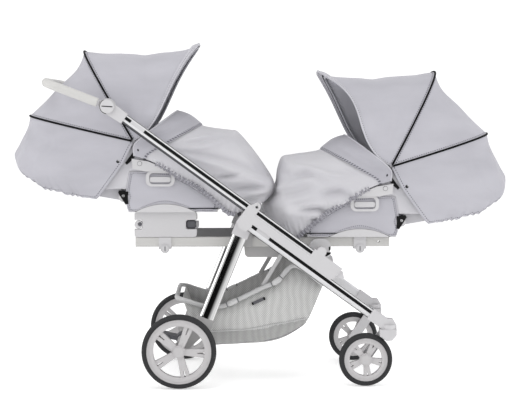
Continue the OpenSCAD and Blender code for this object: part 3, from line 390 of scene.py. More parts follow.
def camera():
    """A long lens on the near side, nearly level."""
    cam = bpy.data.objects.new("camera", bpy.data.cameras.new("camera"))
    bpy.context.scene.collection.objects.link(cam)
    cam.location = (-0.1101, -4.9833, 0.9399)
    cam.rotation_euler = (math.radians(90 - 3.762), 0, math.radians(-1.209))
    cam.data.sensor_width = SENSOR
    cam.data.lens = SENSOR * FOCAL / PICTURE
    cam.data.clip_end = 100
    bpy.context.scene.camera = cam
    bpy.context.scene.view_settings.view_transform = "Standard"


def surroundings():
    """White surroundings with darker bands that the chrome mirrors. Mirrored rays see a dark area low at the camera's
    left, as of a black cloth."""
    world = bpy.data.worlds.new("studio")
    bpy.context.scene.world = world
    world.use_nodes = True
    back = world.node_tree.nodes["Background"]
    back.inputs["Strength"].default_value = 1.0
    coord = add_node(world, "TexCoord")
    apart = add_node(world, "SeparateXYZ", src=[(coord, "Generated", "Vector")])
    ahead = add_node(world, "VectorMath", {"operation": "SCALE", "Scale": -1.0},
                     src=[(coord, "Generated", 0)])
    behind = add_node(world, "SeparateXYZ", src=[(ahead, "Vector", "Vector")])
    left = add_node(world, "Math", {"operation": "ARCTAN2"}, src=[(behind, "X", 0), (behind, "Y", 1)])
    share = add_node(world, "MapRange", {"From Min": -math.pi, "From Max": math.pi},
                     src=[(left, "Value", "Value")])
    above = add_node(world, "Math", {"operation": "MULTIPLY_ADD", 1: -0.37},
                     src=[(left, "Value", 0), (apart, "Z", 2)])
    low = add_node(world, "MapRange", {"From Min": -0.05, "From Max": -0.08}, src=[(above, "Value", "Value")])
    seen = add_node(world, "Mix", {"data_type": "RGBA"}, src=[(low, "Result", 0)])
    for sock, stops in ((6, MIRRORED_HIGH), (7, MIRRORED_LOW)):
        ramp = add_node(world, "ValToRGB", {}, [("Color", seen, sock)], [(share, "Result", "Fac")])
        for k, (angle, colour) in enumerate(stops):
            e = ramp.color_ramp.elements[k] if k < 2 else ramp.color_ramp.elements.new(0.5 + angle / 360)
            e.position = 0.5 + angle / 360
            e.color = linear(colour)
    sky = add_node(world, "MapRange", {"From Min": -0.3, "To Min": 0.62, "To Max": 0.78},
                   src=[(apart, "Z", "Value")])
    path = add_node(world, "LightPath")
    lit = add_node(world, "Mix", {"data_type": "RGBA"},
                   src=[(path, "Is Glossy Ray", 0), (sky, "Result", 6), (seen, 2, 7)])
    white = add_node(world, "Mix", {"data_type": "RGBA", 7: (1.12, 1.12, 1.12, 1)},
                     src=[(path, "Is Camera Ray", 0), (lit, 2, 6)])
    world.node_tree.links.new(white.outputs[2], back.inputs["Color"])


def lamps_and_floor():
    """A large soft key from above, one at each side, one behind, and a pale floor that mirrored rays don't see."""
    for name, loc, size, power in (("key", (-0.6, -1.4, 4.0), 2.6, 30), ("left", (-3.6, -1.6, 1.9), 2.2, 34),
                                   ("right", (3.6, -1.6, 1.9), 2.2, 34), ("rim", (0.4, 3.0, 3.2), 2.4, 22)):
        lamp = bpy.data.objects.new(name, bpy.data.lights.new(name, "AREA"))
        bpy.context.scene.collection.objects.link(lamp)
        lamp.data.size = size
        lamp.data.energy = power
        lamp.location = loc
        aim = np.array([0, 0, 0.55]) - np.array(loc)
        lamp.rotation_euler = (math.atan2(np.hypot(aim[0], aim[1]), -aim[2]), 0,
                               math.atan2(aim[0], -aim[1]) + math.pi)
    n, wide = 24, 30000
    x, y = np.meshgrid(np.linspace(-wide, wide, n), np.linspace(-wide, wide, n), indexing="ij")
    pale = moulded("matt white studio floor", "#F7F7F7", 0.9, 6.0, 0.02, Emission_Color=linear("#FFFFFF"),
                   Emission_Strength=0.38)
    floor = mesh_object("floor", np.stack([x, y, np.full_like(x, -0.6)], -1).reshape(-1, 3), quads(n, n), [pale])
    floor.visible_glossy = False


camera()
surroundings()
lamps_and_floor()

# Materials of the CAD nodes that show
CAD_LOOKS = [
    (WHITE, "frame_housings front_feet handle_hinges handle_button_left handle_button_right rear_leg_sockets "
            "seat_fittings carry_rings rear_seat_tub front_seat_tub rear_seat_paddle_left rear_seat_paddle_right "
            "front_seat_paddle_left front_seat_paddle_right caster_left caster_right handle_bar"),
    (SATIN, "front_legs handle_tubes"),
    (RAIL, "seat_rails cross_tubes"),
    (GREY, "cross_carrier rear_axle hood_back_bows"),
    (PALE, "rail_supports raised_adapters rail_clamps clamp_knobs"),
    (DARK, "brake_pedal"),
    (ROD, "rear_seat_bow_middle front_seat_bow_middle"),
    (LINING, "rear_seat_bow_front"),
    (WHEEL, "rear_rim_left rear_rim_right front_rim_left front_rim_right"),
    (TYRE, "rear_tyre_left rear_tyre_right front_tyre_left front_tyre_right"),
    (LEATHER, "handle_grip"),
    (COVER, "rear_seat_backrest front_seat_backrest"),
]
for look, names in CAD_LOOKS:
    for node_name in names.split():
        NODES[node_name].data.materials.clear()
        NODES[node_name].data.materials.append(look)

# Faces of two CAD nodes in another material: those below a limit in metres, along X, or outwards along Y
# The seat rails' inner faces, nearer the middle than the limit along Y, take painted shade
for node_name, axis, looks in (("rail_supports", 0, ((GREY, 0.05), (DARK, -0.07))),
                               ("seat_rails", 1, ((PAINTED_RAIL_SHADE, 0.172),))):
    ob = NODES[node_name]
    place = centres(ob)[:, axis]
    place = np.abs(place) if axis else place
    index = np.zeros(len(place), np.int32)
    for look, limit in looks:
        ob.data.materials.append(look)
        index[place < limit] = len(ob.data.materials) - 1
    ob.data.polygons.foreach_set("material_index", index)


# Seat units

# Sign of Y on each side of the pram
SIDES = {"right": -1, "left": 1}
# Each seat's direction of u along X, and the height of its tub's base
SEATS = {"rear": (-1.0, 584.3), "front": (1.0, 499.3)}
# Pivot of a hood's ribs in side view, a point inside a hood, and a hood's half width
HOOD_P = np.array([433.0, 239.0])
HOOD_INSIDE = (560, 200)
HOOD_W = 212.0
# Tips of a hood's back rib and middle rib, and the front rim's curve; the front hood is drawn further forward
BACK_TIP = {"rear": np.array([802.0, 324.0]), "front": np.array([786.0, 347.0])}
MID_TIP = {"rear": np.array([613.0, 546.0]), "front": np.array([602.0, 561.0])}
VISOR = {"rear": np.array([[433, 239], [322, 300], [338, 424], [213, 570]], float),
         "front": np.array([[433, 239], [319, 294], [328, 418], [193, 560]], float)}
# How far a hood's left side of the front rim is drawn forward
TWIST = {"rear": -4.0, "front": 19.0}
# How far a hood's right side of the front rim is drawn back, high up
DRAWN_BACK = {"rear": 0.0, "front": 34.0}
# Where the dark binding lies inside a front rim, as a share of the hem's width
BINDING = {"rear": 0.22, "front": 1.0}
# A skirt's lower edge at each 15 degrees over the arch: u, z and the share of the half width
SKIRT = [[433, 236, 1], [472, 160, 1], [556, 45, 1], [640, 58, 1], [735, 82, 0.97], [808, 124, 0.8], [846, 160, 0]]
# How far the cloth is drawn in between two ribs, and how far the skirt bulges
MIDDLE_SAG, FRONT_SAG, SKIRT_BULGE = 29, 25, 24
# Power that makes the arches of the hoods and covers squarer than an ellipse
SQUARENESS = 0.77


def placed(seat, q, y=0.0):
    """Side-view points (u, z) of a seat's own frame, at y, in the pram's frame."""
    turn, base = SEATS[seat]
    q = np.asarray(q, float)
    return np.stack(np.broadcast_arrays(turn * q[..., 0], y, base + q[..., 1]), -1)


def in_view(seat, q):
    """Side-view points of a seat's own frame as side-view points (x, z) of the pram's."""
    return placed(seat, q)[..., [0, 2]]


def arch(a):
    """Share of the rise and of the half width at an angle in degrees over an arch: powers of its sine and cosine."""
    r = np.radians(a)
    return np.sin(r) ** SQUARENESS, np.maximum(np.cos(r), 0) ** SQUARENESS


def over(n):
    """Angles over an arch for 2n + 1 columns, 0.3 degrees at a pivot and 90 at the top, and each column's side."""
    c = np.linspace(-1, 1, 2 * n + 1)
    return 90 - 89.7 * np.abs(c) ** 0.85, np.where(c < 0, -1.0, 1.0)


def rib(tip, a):
    """Straight rib in side view, from the pivot to its tip, by the share of the rise."""
    return HOOD_P + arch(a)[0][..., None] * (tip - HOOD_P)


def visor(seat, a):
    """Front rim in side view: a cubic Bezier curve by the share of the rise."""
    t = arch(a)[0][..., None]
    p = VISOR[seat]
    return (1 - t) ** 3 * p[0] + 3 * t * (1 - t) ** 2 * p[1] + 3 * t ** 2 * (1 - t) * p[2] + t ** 3 * p[3]


def drawn(q, a, depth):
    """Points drawn towards the pivot by depth times the share of the rise."""
    v = q - HOOD_P
    return HOOD_P + v * (1 - depth * arch(a)[0] / np.maximum(np.linalg.norm(v, axis=-1), 1))[..., None]


def hood_middle_grid(seat, t, n=48):
    """Cloth between the back rib and the middle rib: a straight mix by t, drawn in most just behind the middle rib."""
    a, s = over(n)
    t, a = np.meshgrid(t, a, indexing="ij")
    q = (1 - t)[..., None] * rib(BACK_TIP[seat], a) + t[..., None] * rib(MID_TIP[seat], a)
    q = drawn(q, a, MIDDLE_SAG * t * (1 - t ** 7))
    return q, s * HOOD_W * arch(a)[1], a


def hood_front_grid(seat, t, n=48):
    """Cloth between the middle rib and the front rim: a straight mix by t, drawn in with a flat-bottomed sag; t is a
    row of shares, or a table of them with a column for each angle."""
    a, s = over(n)
    t, a = np.broadcast_arrays(t if np.ndim(t) == 2 else np.asarray(t)[:, None], a)
    q = (1 - t)[..., None] * rib(MID_TIP[seat], a) + t[..., None] * visor(seat, a)
    q = drawn(q, a, FRONT_SAG * (1 - (1 - t) ** 3) * (1 - t ** 9))
    rise = arch(a)[0]
    q[..., 0] -= TWIST[seat] * (s > 0) * t ** 3 * np.sin(np.pi * rise).clip(0) ** 0.8
    q[..., 0] += DRAWN_BACK[seat] * (s < 0) * t ** 3 * np.sin(np.pi * rise ** 3).clip(0)
    return q, s * HOOD_W * arch(a)[1], a


def hood_back_grid(seat, t, n=60):
    """Cloth from the back rib (t 0) to the skirt's lower edge (t 1), bulging outwards low down, with gathers that grow
    towards the elastic lower edge: waves along the edge whose height rises with the sixth power of t."""
    a, s = over(n)
    t, a = np.meshgrid(t, a, indexing="ij")
    up, across = arch(a)
    e = np.stack([np.interp(a / 15, np.arange(7), column) for column in np.transpose(SKIRT)], -1)
    q = (1 - t)[..., None] * rib(BACK_TIP[seat], a) + t[..., None] * e[..., :2]
    q[..., 0] += SKIRT_BULGE * np.sin(np.pi * t ** 3) * up
    w = (1 - t) * across + t * np.clip(e[..., 2], 0, 1)
    low = np.clip((a - 32) / 10, 0, 1)
    wave = np.sin(a * 1.9 + 2.0 * np.sin(a * 0.31)) + 0.6 * np.sin(a * 3.7 + s * 1.3)
    q[..., 1] += low * 3.0 * t ** 6 * wave
    w = w + low * 0.008 * t ** 5 * wave
    return q, s * HOOD_W * w, a


def lengths(P, axis):
    """Distance run along the rows or columns of a grid."""
    d = np.linalg.norm(np.diff(P, axis=axis), axis=2)
    return np.concatenate([np.zeros_like(np.take(d, [0], axis)), np.cumsum(d, axis)], axis)


def raised(P, inside, h):
    """A grid moved along its normals by h, away from the point or grid called inside."""
    N = normals(P)
    return P + np.asarray(h)[..., None] * N * np.sign(np.sum(N * (P - inside)))


def slack(t, a, s, turns, high):
    """Long shallow ripples of stretched cloth: a few waves across a panel that drift along it, none at its seams."""
    drift = 0.030 * a + 0.6 * np.sin(a * 0.11 + s)
    return high * np.sin(np.pi * t) * np.sin(2 * np.pi * turns * t + drift) * np.clip((a - 6) / 25, 0, 1)


def creases(u, z, table):
    """Soft folds: ridges and hollows along lines of the side view. Each is a bell curve of the distance to its line,
    which fades towards the line's ends; a row is (height, half width, points of the line)."""
    h = np.zeros_like(u)
    for high, wide, line in table:
        p = even(spline(line, np.linspace(0, len(line) - 1, 60)), 40)
        d = np.hypot(u[..., None] - p[:, 0], z[..., None] - p[:, 1])
        fade = np.sin(np.pi * np.linspace(0.05, 0.95, 40)) ** 0.5
        h += 1.7 * high * fade[np.argmin(d, -1)] * np.exp(-(np.min(d, -1) / (0.85 * wide)) ** 2)
    return h


def across_line(line):
    """Unit vectors square to a polyline of the side view, at each of its points."""
    d = np.gradient(line, axis=0)
    d /= np.linalg.norm(d, axis=1, keepdims=True)
    return np.stack([-d[:, 1], d[:, 0]], -1)


# Soft folds of the hoods' skirts
SKIRT_FOLDS = [(2.2, 18, [[470, 205], [520, 160], [600, 120], [680, 100]]),
               (-2.4, 16, [[500, 215], [580, 165], [680, 130]]),
               (2.0, 22, [[560, 250], [660, 205], [760, 180]]), (-2.6, 14, [[700, 260], [740, 190], [790, 150]]),
               (2.4, 16, [[760, 300], [800, 220], [826, 170]]), (-1.8, 14, [[520, 120], [560, 84], [630, 78]])]
# Thickness of thin cloth, the piping's radius, and a hood panel's flat width in metres
CLOTH, PIPE, PANEL_WIDTH = 1.6, 3.4, 0.62
# Columns on each side of a hood's top in its piping and rim, and the upward direction of rods round a seat
RIM_COLUMNS, UPWARD = 60, (0.2, 0.1, 1)


def hood_panel(seat, part, grid, rows, turns, high, folds=()):
    """One cloth panel of a hood: its grid with ripples and soft folds as a thin shell, stitched along its lower edge
    (back), along both seams (middle) or along its first seam (front)."""
    inside = placed(seat, HOOD_INSIDE)
    t = np.linspace(0.0, 1.0, rows)
    q, y, a = grid(seat, t)
    h = slack(t[:, None], a, np.sign(y), turns, high) + creases(q[..., 0], q[..., 1], folds)
    P = raised(placed(seat, q, y), inside, h)
    down = lengths(P, 0)
    up = down[-1:] - down
    hem = {"back": up, "middle": np.minimum(down, up), "front": down}[part]
    ob = shell(f"{seat}_hood_{part}_cloth", P, CLOTH, [HOOD] if part == "back" else [HOOD, LINING], inside, hem,
               lengths(P, 1))
    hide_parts(f"{seat}_seat_hood_{part}")
    return ob


def hood(seat):
    """The three cloth panels of a hood, their piping, the bound front rim, and the dark binding and bow inside it."""
    turn = SEATS[seat][0]
    inside = placed(seat, HOOD_INSIDE)
    middle_body, front_body = f"{seat}_hood_middle", f"{seat}_hood_front"
    back = hood_panel(seat, "back", hood_back_grid, 41, 2.0, 2.0, SKIRT_FOLDS)
    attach(back, "chassis")
    middle = hood_panel(seat, "middle", hood_middle_grid, 41, 1.5, 2.4)
    front = hood_panel(seat, "front", hood_front_grid, 49, 2.5, 3.0)
    for ob, one, two, tip, other in ((middle, "chassis", middle_body, BACK_TIP[seat], MID_TIP[seat]),
                                     (front, middle_body, front_body, MID_TIP[seat], VISOR[seat][3])):
        d = tip - HOOD_P
        side = np.array([-d[1], d[0]]) / np.linalg.norm(d)
        stop = HOOD_P + 0.45 * np.dot(other - HOOD_P, side) * side
        tuple(placed(seat, HOOD_P) * 0.001)
        tuple(placed(seat, stop) * 0.001)
        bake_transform(ob)
    a, s = over(RIM_COLUMNS)
    rise, across = arch(a)
    for tip, body, tag in ((BACK_TIP[seat], "chassis", "back"), (MID_TIP[seat], middle_body, "middle")):
        v = (tip - HOOD_P) / np.linalg.norm(tip - HOOD_P)
        p = placed(seat, rib(tip, a) + 1.2 * rise[:, None] * v, s * (HOOD_W + 1.0) * across)
        fitted(rod(f"{seat}_hood_{tag}_piping", p, PIPE, PIPING, 10, (turn * -v[1], 0, v[0])), body, "black_rod")
    long = np.linalg.norm(rib(MID_TIP[seat], a) - visor(seat, a), axis=-1)
    share = np.minimum((9 + 9 * rise ** 4) / np.maximum(long, 1), 0.5)
    q, y, a = hood_front_grid(seat, 1 - share * np.linspace(1.0, 0.0, 9)[:, None], RIM_COLUMNS)
    puff = CLOTH + 6.0 * arch(a)[0] ** 10
    P = raised(placed(seat, q, y), inside, puff)
    down = lengths(P, 0)
    rim = shell(f"{seat}_hood_rim_hem", P, (2.0 + puff)[..., None], [HEM], inside, down[-1:] - down + 1, lengths(P, 1))
    fitted(rim, front_body, "hood_cloth")
    lines = [("binding", BINDING[seat] + np.array([0.08, 0.0]), -3.4, 2.0, TAPE, 10, ())]
    if DRAWN_BACK[seat]:
        lines.append(("bow", np.array([1.5, 1.4]), -6.5, 4.0, LINING, 12, (f"{seat}_seat_bow_front",)))
    for tag, at, deep, r, look, sides, nodes in lines:
        q, y, a = hood_front_grid(seat, 1 - share * at[:, None], RIM_COLUMNS)
        P = raised(placed(seat, q, y), inside, np.full(y.shape, deep))[1]
        fitted(rod(f"{seat}_hood_rim_{tag}", P, r, look, sides, UPWARD), front_body, "black_rod", *nodes)


for seat in SEATS:
    hood(seat)


# Foot covers: top middle, shoulder and lower edge in side view, and half width, from the flap to the foot end
COVER_HEAD = [[291, 338, 434, 230, 430, 190, 217], [250, 322, 415, 210, 410, 186, 217],
              [207, 292, 385, 196, 392, 180, 219.2], [170, 283, 325, 182, 342, 157, 219.2],
              [131, 278, 250, 165, 280, 118, 217]]
COVER_FOOT = {
    "rear": [[105, 275, 190, 150, 215, 82, 211], [82, 269, 135, 130, 148, 26, 209], [35, 216, 75, 100, 105, -6, 204],
             [-12, 151, 15, 85, 40, 15, 194], [-38, 108, -22, 75, -5, 32, 165], [-45, 86, -42, 73, -35, 57, 110],
             [-46, 76, -45, 71, -44, 66, 40], [-46, 72, -46, 71, -46, 70, 2]],
    "front": [[105, 274, 190, 150, 215, 82, 211], [72, 266, 130, 130, 148, 26, 209], [57, 228, 88, 112, 108, -6, 204],
              [53, 190, 62, 106, 78, 16, 194], [51, 152, 34, 104, 52, 36, 165], [27, 129, 12, 103, 24, 60, 110],
              [5, 114, 2, 103, 6, 88, 40], [3, 104, 3, 103, 3, 102, 2]]}
# Share of the half width's columns at which a cover's shoulder lies
SHOULDER = 0.76


def cover_grid(seat, x, n=66):
    """A cover at station positions x: over the top an arch between the two shoulders, then straight down to the lower
    edges, 2n + 1 columns in all, smoothed along the rows."""
    st = spline(COVER_HEAD + COVER_FOOT[seat], x)[:, None]
    c = np.linspace(-1, 1, 2 * n + 1)
    s = np.abs(c)
    up, across = arch(90 * np.clip(1 - (s / SHOULDER) ** 0.92, 0, 1))
    low = np.clip((s - SHOULDER) / (1 - SHOULDER), 0, 1)[None, :, None]
    q = st[..., 2:4] + up[None, :, None] * (st[..., 0:2] - st[..., 2:4])
    q = q + low * (st[..., 4:6] - st[..., 2:4])
    y = np.where(c < 0, -1, 1) * (st[..., 6] - 3 * low[..., 0]) * across
    P = np.stack([q[..., 0], y, q[..., 1]], -1)
    return relaxed(P, 22), np.broadcast_to(c, y.shape), np.broadcast_to(np.asarray(x)[:, None], y.shape)


# Folds of the foot covers on the near side; the far side has the same, a little weaker
FOLDS = {
    "rear": [(6, 12, [[300, 214], [261, 215], [194, 219], [135, 237], [83, 268]]),
             (-9, 15, [[250, 200], [171, 185], [104, 172], [36, 150], [-20, 122]]),
             (8, 15, [[255, 190], [160, 163], [70, 127], [-20, 91]]),
             (-8, 8, [[165, 112], [149, 117], [115, 122], [75, 131]]), (6, 14, [[130, 100], [80, 106], [20, 104]]),
             (-10, 9, [[105, 74], [95, 77], [48, 83], [0, 82]]), (6, 16, [[60, 58], [20, 64], [-20, 72]]),
             (-7, 10, [[60, 34], [43, 39], [-9, 55]]), (-4, 7, [[260, 230], [200, 241], [150, 250]]),
             (3, 6, [[260, 242], [205, 252], [160, 258]]), (-4, 10, [[84, 250], [40, 190], [0, 150]])],
    "front": [(6, 12, [[64, 263], [105, 240], [165, 229], [233, 211], [312, 202]]),
              (-8, 16, [[70, 222], [100, 209], [154, 212], [210, 195]]),
              (8, 14, [[51, 155], [91, 173], [132, 188], [177, 202]]), (-7, 16, [[60, 140], [110, 150], [160, 166]]),
              (-11, 15, [[200, 146], [211, 148], [256, 154], [292, 140]]),
              (7, 18, [[220, 118], [262, 124], [290, 118]]),
              (-6, 9, [[96, 110], [136, 118], [170, 126]]), (8, 20, [[120, 104], [160, 110], [200, 112]]),
              (-12, 9, [[130, 92], [173, 98], [200, 93], [216, 76]]), (9, 15, [[120, 76], [154, 73], [190, 70]]),
              (-9, 6, [[158, 61], [182, 59], [200, 50]]), (8, 22, [[78, 100], [84, 90], [100, 70]])]}
# Folds of a flap, and a cover's flat width and a ruffle's height in metres
FLAP_FOLDS = [(3, 14, [[240, 280], [320, 240], [400, 215]]), (-2.5, 12, [[260, 300], [330, 262], [400, 232]])]
COVER_WIDTH, RUFFLE_HEIGHT = 0.95, 0.014


def foot_cover(seat):
    """Quilted foot cover: a puffy apron gathered on an elastic along its lower edge, and the flap folded back over it.
    The apron is returned."""
    x = np.concatenate([np.linspace(0.9, 8.0, 96), np.linspace(8.1, 12.0, 34)])
    P, c, xs = cover_grid(seat, x)
    stations = spline(COVER_HEAD + COVER_FOOT[seat], x)
    core = np.stack([stations[:, 2] + 40, 0 * x, 0 * x + 60], -1)[:, None]
    h = np.where(c < 0, 1.0, 0.75) * creases(P[..., 0], P[..., 2], FOLDS[seat])
    h = h * np.clip((np.abs(c) - 0.1) / 0.3, 0, 1)
    run = lengths(P, 0)
    low = np.clip((np.abs(c) - 0.80) / 0.20, 0, 1) ** 2
    low = low * np.clip((xs - 2.2) / 0.6, 0, 1) * np.clip((9.5 - xs) / 1.5, 0, 1)
    h = h + low * (3.4 * np.sin(run / 2.6 + 3 * np.sin(run / 37)) + 1.5 * np.sin(run / 1.31))
    P = raised(P, core, h * np.clip((12.0 - xs) / 1.2, 0, 1))
    inside = placed(seat, core[..., [0, 2]], core[..., 1])
    apron = shell(f"{seat}_foot_cover_apron", placed(seat, P[..., [0, 2]], P[..., 1]), 2.4, [COVER], inside)
    fitted(apron, "chassis", "cover_cloth", f"{seat}_seat_foot_cover")
    P, _, xs = cover_grid(seat, np.linspace(-0.06, 2.02, 37))
    puff = 3.0 + 3.5 * np.clip(1 - ((xs - 0.98) / 1.05) ** 4, 0, 1) + creases(P[..., 0], P[..., 2], FLAP_FOLDS)
    P = raised(P, core[:1], puff)
    P = placed(seat, P[..., [0, 2]], P[..., 1])
    down = lengths(P, 0)
    flap = shell(f"{seat}_foot_cover_flap", P, 3.0, [FLAP], inside[:1], down[-1:] - down, lengths(P, 1))
    bound = rod("binding", P[0], 3.0, HEM, 10, UPWARD)
    flap = fitted(joined(flap.name, flap, bound), "chassis", "cover_cloth")
    return apron


def ruffle(seat, tag):
    """Gathered strip along a cover's elastic: it follows the lower edge, waved in and out and up and down."""
    b = spline(COVER_HEAD + COVER_FOOT[seat], np.linspace(2.7, 7.2, 420))[:, 4:7]
    run = travelled(b[:, :2])
    half = 500 * RUFFLE_HEIGHT
    w = np.linspace(-half, half, 7)[None]
    wave = 5.4 * np.sin(run / 1.9 + 2.2 * np.sin(run / 23))[:, None] * (0.4 + 0.6 * np.abs(w) / half)
    lift = 1.5 * np.sin(run / 2.9 + 1.3 * np.sin(run / 17))[:, None]
    q = b[:, None, :2] + (w + lift)[..., None] * across_line(b[:, :2])[:, None]
    S = placed(seat, q, SIDES[tag] * (np.minimum(b[:, 2:3], 214) + 2.0 + wave))
    # The ruffle's cloth is darkened: painted shade of the gathers' hollows
    strip = shell(f"{seat}_foot_cover_ruffle_{tag}", S, CLOTH, [SHADED_RUFFLE], placed(seat, (300, 100)))
    fitted(strip, "chassis", "cover_cloth")


for seat in SEATS:
    cover = foot_cover(seat)
    for tag in SIDES:
        ruffle(seat, tag)


# Side covers on the tubs

def outline(points, n, soft=0):
    """n points at equal steps round a closed outline, its corners rounded by averaging with the neighbours."""
    p = even(np.vstack([points, points[:1]]), n + 1)[:-1]
    for _ in range(soft):
        p = 0.5 * p + 0.25 * (np.roll(p, 1, 0) + np.roll(p, -1, 0))
    return p


# A side cover's outline in side view above its curved bottom, and its middle
SIDE_OUTLINE = [[452, 3], [459, 30], [451, 50], [459, 68], [447, 136], [310, 136], [152, 30], [157, 3]]
SIDE_MIDDLE = np.array([330.0, 84.0])


def side_cover(seat, tag):
    """A thin padded panel on a tub's side: rings from its middle to its outline, swelling outwards between them by one
    less the sixth power of the ring's share, and a cord sewn along the edge."""
    side = SIDES[tag]
    arc = np.linspace(-0.513, 0.513, 17)
    bottom = np.c_[328 + 210 * np.sin(arc), -180 + 210 * np.cos(arc)]
    edge = outline(np.vstack([SIDE_OUTLINE, bottom]), 180, 3)
    r = np.linspace(0, 1, 15)[:, None, None] ** 0.8
    V = placed(seat, SIDE_MIDDLE + r * (edge - SIDE_MIDDLE), side * (195.4 + 3.0 * (1 - r[..., 0] ** 6)))
    W = placed(seat, edge, side * 195.1)
    n, m = V.shape[:2]
    faces = quads(n + 1, m, False, True).tolist() + [list(range((n + 1) * m - 1, n * m - 1, -1))]
    run = np.tile(travelled(edge), n + 1)
    away = np.r_[((1 - r[..., 0]) * np.linalg.norm(edge - SIDE_MIDDLE, axis=1)).ravel(), np.zeros(m)] + 1
    panel = facing(mesh_object(f"{seat}_side_cover_{tag}", np.concatenate([V.reshape(-1, 3), W]), faces, [HOOD],
                               edge=away, run=run))
    cord = rod("cord", placed(seat, edge, side * 196.6), 1.9, HEM, 8, (0, 1, 0), True)
    return joined(panel.name, panel, cord)


def gussets(seat):
    """Cloth between a tub's rear edge and the hood's skirt on both sides: a grid between a lower and an upper line of
    the side view, a little slack in the middle."""
    n = 30
    low = even([[398, 139], [449, 139], [457, 78], [520, 78], [566, 78]], n)
    top = even([[398, 200], [425, 222], [447, 222], [482, 206], [590, 92]], n)
    v = np.linspace(0, 1, 9)[:, None, None]
    q = (1 - v) * low + v * top
    sag = 1.2 * np.sin(np.pi * v[..., 0]) * np.sin(np.linspace(0, 5, n))
    both = [shell("gusset", placed(seat, q, s * (196.4 - 0.4 * np.abs(sag))), 1.0, [COVER], placed(seat, (450, 150)))
            for s in SIDES.values()]
    ob = fitted(joined(f"{seat}_back_gussets", *both), "chassis", "cover_cloth")


for seat in SEATS:
    gussets(seat)
for seat in SEATS:
    for tag in SIDES:
        cover = fitted(side_cover(seat, tag), "chassis", "hood_cloth", "seat_side_covers")


# Cushions

# A backrest's pivot and slope
BACK_PIVOT, BACK_SLOPE = (470, 50), math.radians(10)
# Size of a cushion's voxels in metres, and the frames and pressure of its filling
VOXEL, FILL_FRAMES, PRESSURE = 0.006, 20, 4


def pillow(name, seat, u0, u1, half_w, z0, h, tilt):
    """A crowned cushion: a flat base, and a top whose height falls to the edges as a power of one less the fourth
    powers of the two shares; tilt tips it about the backrest's pivot."""
    n = 41
    x, y = np.meshgrid(np.linspace(-1, 1, n), np.linspace(-1, 1, n), indexing="ij")
    fall = ((1 - x ** 4) * (1 - y ** 4)).clip(0) ** 0.4
    pull = 1 - 0.03 * (1 - x ** 2) * np.abs(y) ** 8
    u = (u0 + u1) / 2 + (u1 - u0) / 2 * x * (1 - 0.03 * (1 - y ** 2) * np.abs(x) ** 8)
    seams = 5.0 * (np.exp(-((x - 0.33) / 0.03) ** 2) + np.exp(-((x + 0.33) / 0.03) ** 2)) * fall
    top = np.stack([u, half_w * y * pull, z0 + 5 + (h - 5) * fall - seams], -1)
    low = np.stack([u, half_w * y * pull, np.full_like(x, z0)], -1)
    P = np.concatenate([top.reshape(-1, 3), low.reshape(-1, 3)])
    if tilt:
        c, s = math.cos(BACK_SLOPE), math.sin(BACK_SLOPE)
        u, y, z = P.T
        P = np.stack([BACK_PIVOT[0] + c * u - s * z, y, BACK_PIVOT[1] + s * u + c * z], -1)
    k = n * n
    f = quads(n, n)
    ring = border(n, n)
    nxt = np.roll(ring, -1)
    faces = np.concatenate([f, f[:, ::-1] + k, np.stack([nxt, ring, ring + k, nxt + k], -1)])
    return facing(mesh_object(name, placed(seat, P[:, [0, 2]], P[:, 1]), faces, [COTTON], edge=np.full(2 * k, NO_HEM),
                              run=np.zeros(2 * k)))


def swollen(ob, cap):
    """The cushion filled by a cloth simulation with inner pressure and no weight; no point moves more than cap (mm)."""
    scene = bpy.context.scene
    bpy.context.view_layer.objects.active = ob
    remesh = ob.modifiers.new("remesh", "REMESH")
    remesh.mode, remesh.voxel_size, remesh.use_smooth_shade = "VOXEL", VOXEL, True
    with bpy.context.temp_override(object=ob, active_object=ob):
        bpy.ops.object.modifier_apply(modifier="remesh")
    rest = np.zeros(len(ob.data.vertices) * 3)
    ob.data.vertices.foreach_get("co", rest)
    cloth = ob.modifiers.new("cloth", "CLOTH")
    cloth.settings.use_pressure = True
    cloth.settings.uniform_pressure_force = PRESSURE
    cloth.settings.effector_weights.gravity = 0
    cloth.settings.quality = 4
    for f in range(1, FILL_FRAMES + 1):
        scene.frame_set(f)
    moved = np.zeros(len(ob.data.vertices) * 3)
    ob.evaluated_get(bpy.context.evaluated_depsgraph_get()).data.vertices.foreach_get("co", moved)
    ob.modifiers.remove(cloth)
    scene.frame_set(1)
    d = (moved - rest).reshape(-1, 3)
    size = np.maximum(np.linalg.norm(d, axis=1, keepdims=True), 1e-9)
    d *= np.minimum(1, cap * 0.001 / size)
    ob.data.vertices.foreach_set("co", (rest.reshape(-1, 3) + d).ravel())
    ob.data.update()
    return ob


for seat in SEATS:
    pad = swollen(pillow(f"{seat}_seat_cushion", seat, 176, 426, 178, 13.0, 38, False), 5)
    fitted(pad, "chassis", "cushion", "seat_pads")
    back = swollen(pillow(f"{seat}_back_cushion", seat, 30, 257, 158, 1.0, 32, True), 5)
    fitted(back, f"{seat}_backrest", "cushion", f"{seat}_seat_back_pad")
    for ob in (pad, back):
        ob.data.polygons.foreach_set("use_smooth", np.ones(len(ob.data.polygons), bool))


# Basket

# The basket's rim and floor in side view
BASKET_RIM = [[-272, 288], [-200, 266], [-140, 264], [-93, 282], [-2, 326], [50, 350], [111, 402], [206, 336]]
BASKET_FLOOR = [[-236, 190], [-178, 128], [-130, 124], [-60, 127], [20, 132], [76, 147], [127, 177], [152, 204]]
# Powers that make the sections' depth and width boxy, the mesh's thickness, and a point inside
SECTION_DEPTH, SECTION_WIDTH, NET, BASKET_INSIDE = 0.36, 0.26, 1.4, np.array([0.0, 0.0, 290.0])
# The seam above the lower band, as X and Z
BAND_SEAM = [[-240, 172], [-169, 176], [-23, 182], [62, 199]]
# Upward direction of rods round the rim, and the flat width of both straps together in metres
RIM_UP, STRAP_WIDTH = (0.1, 0.05, 1), 0.028


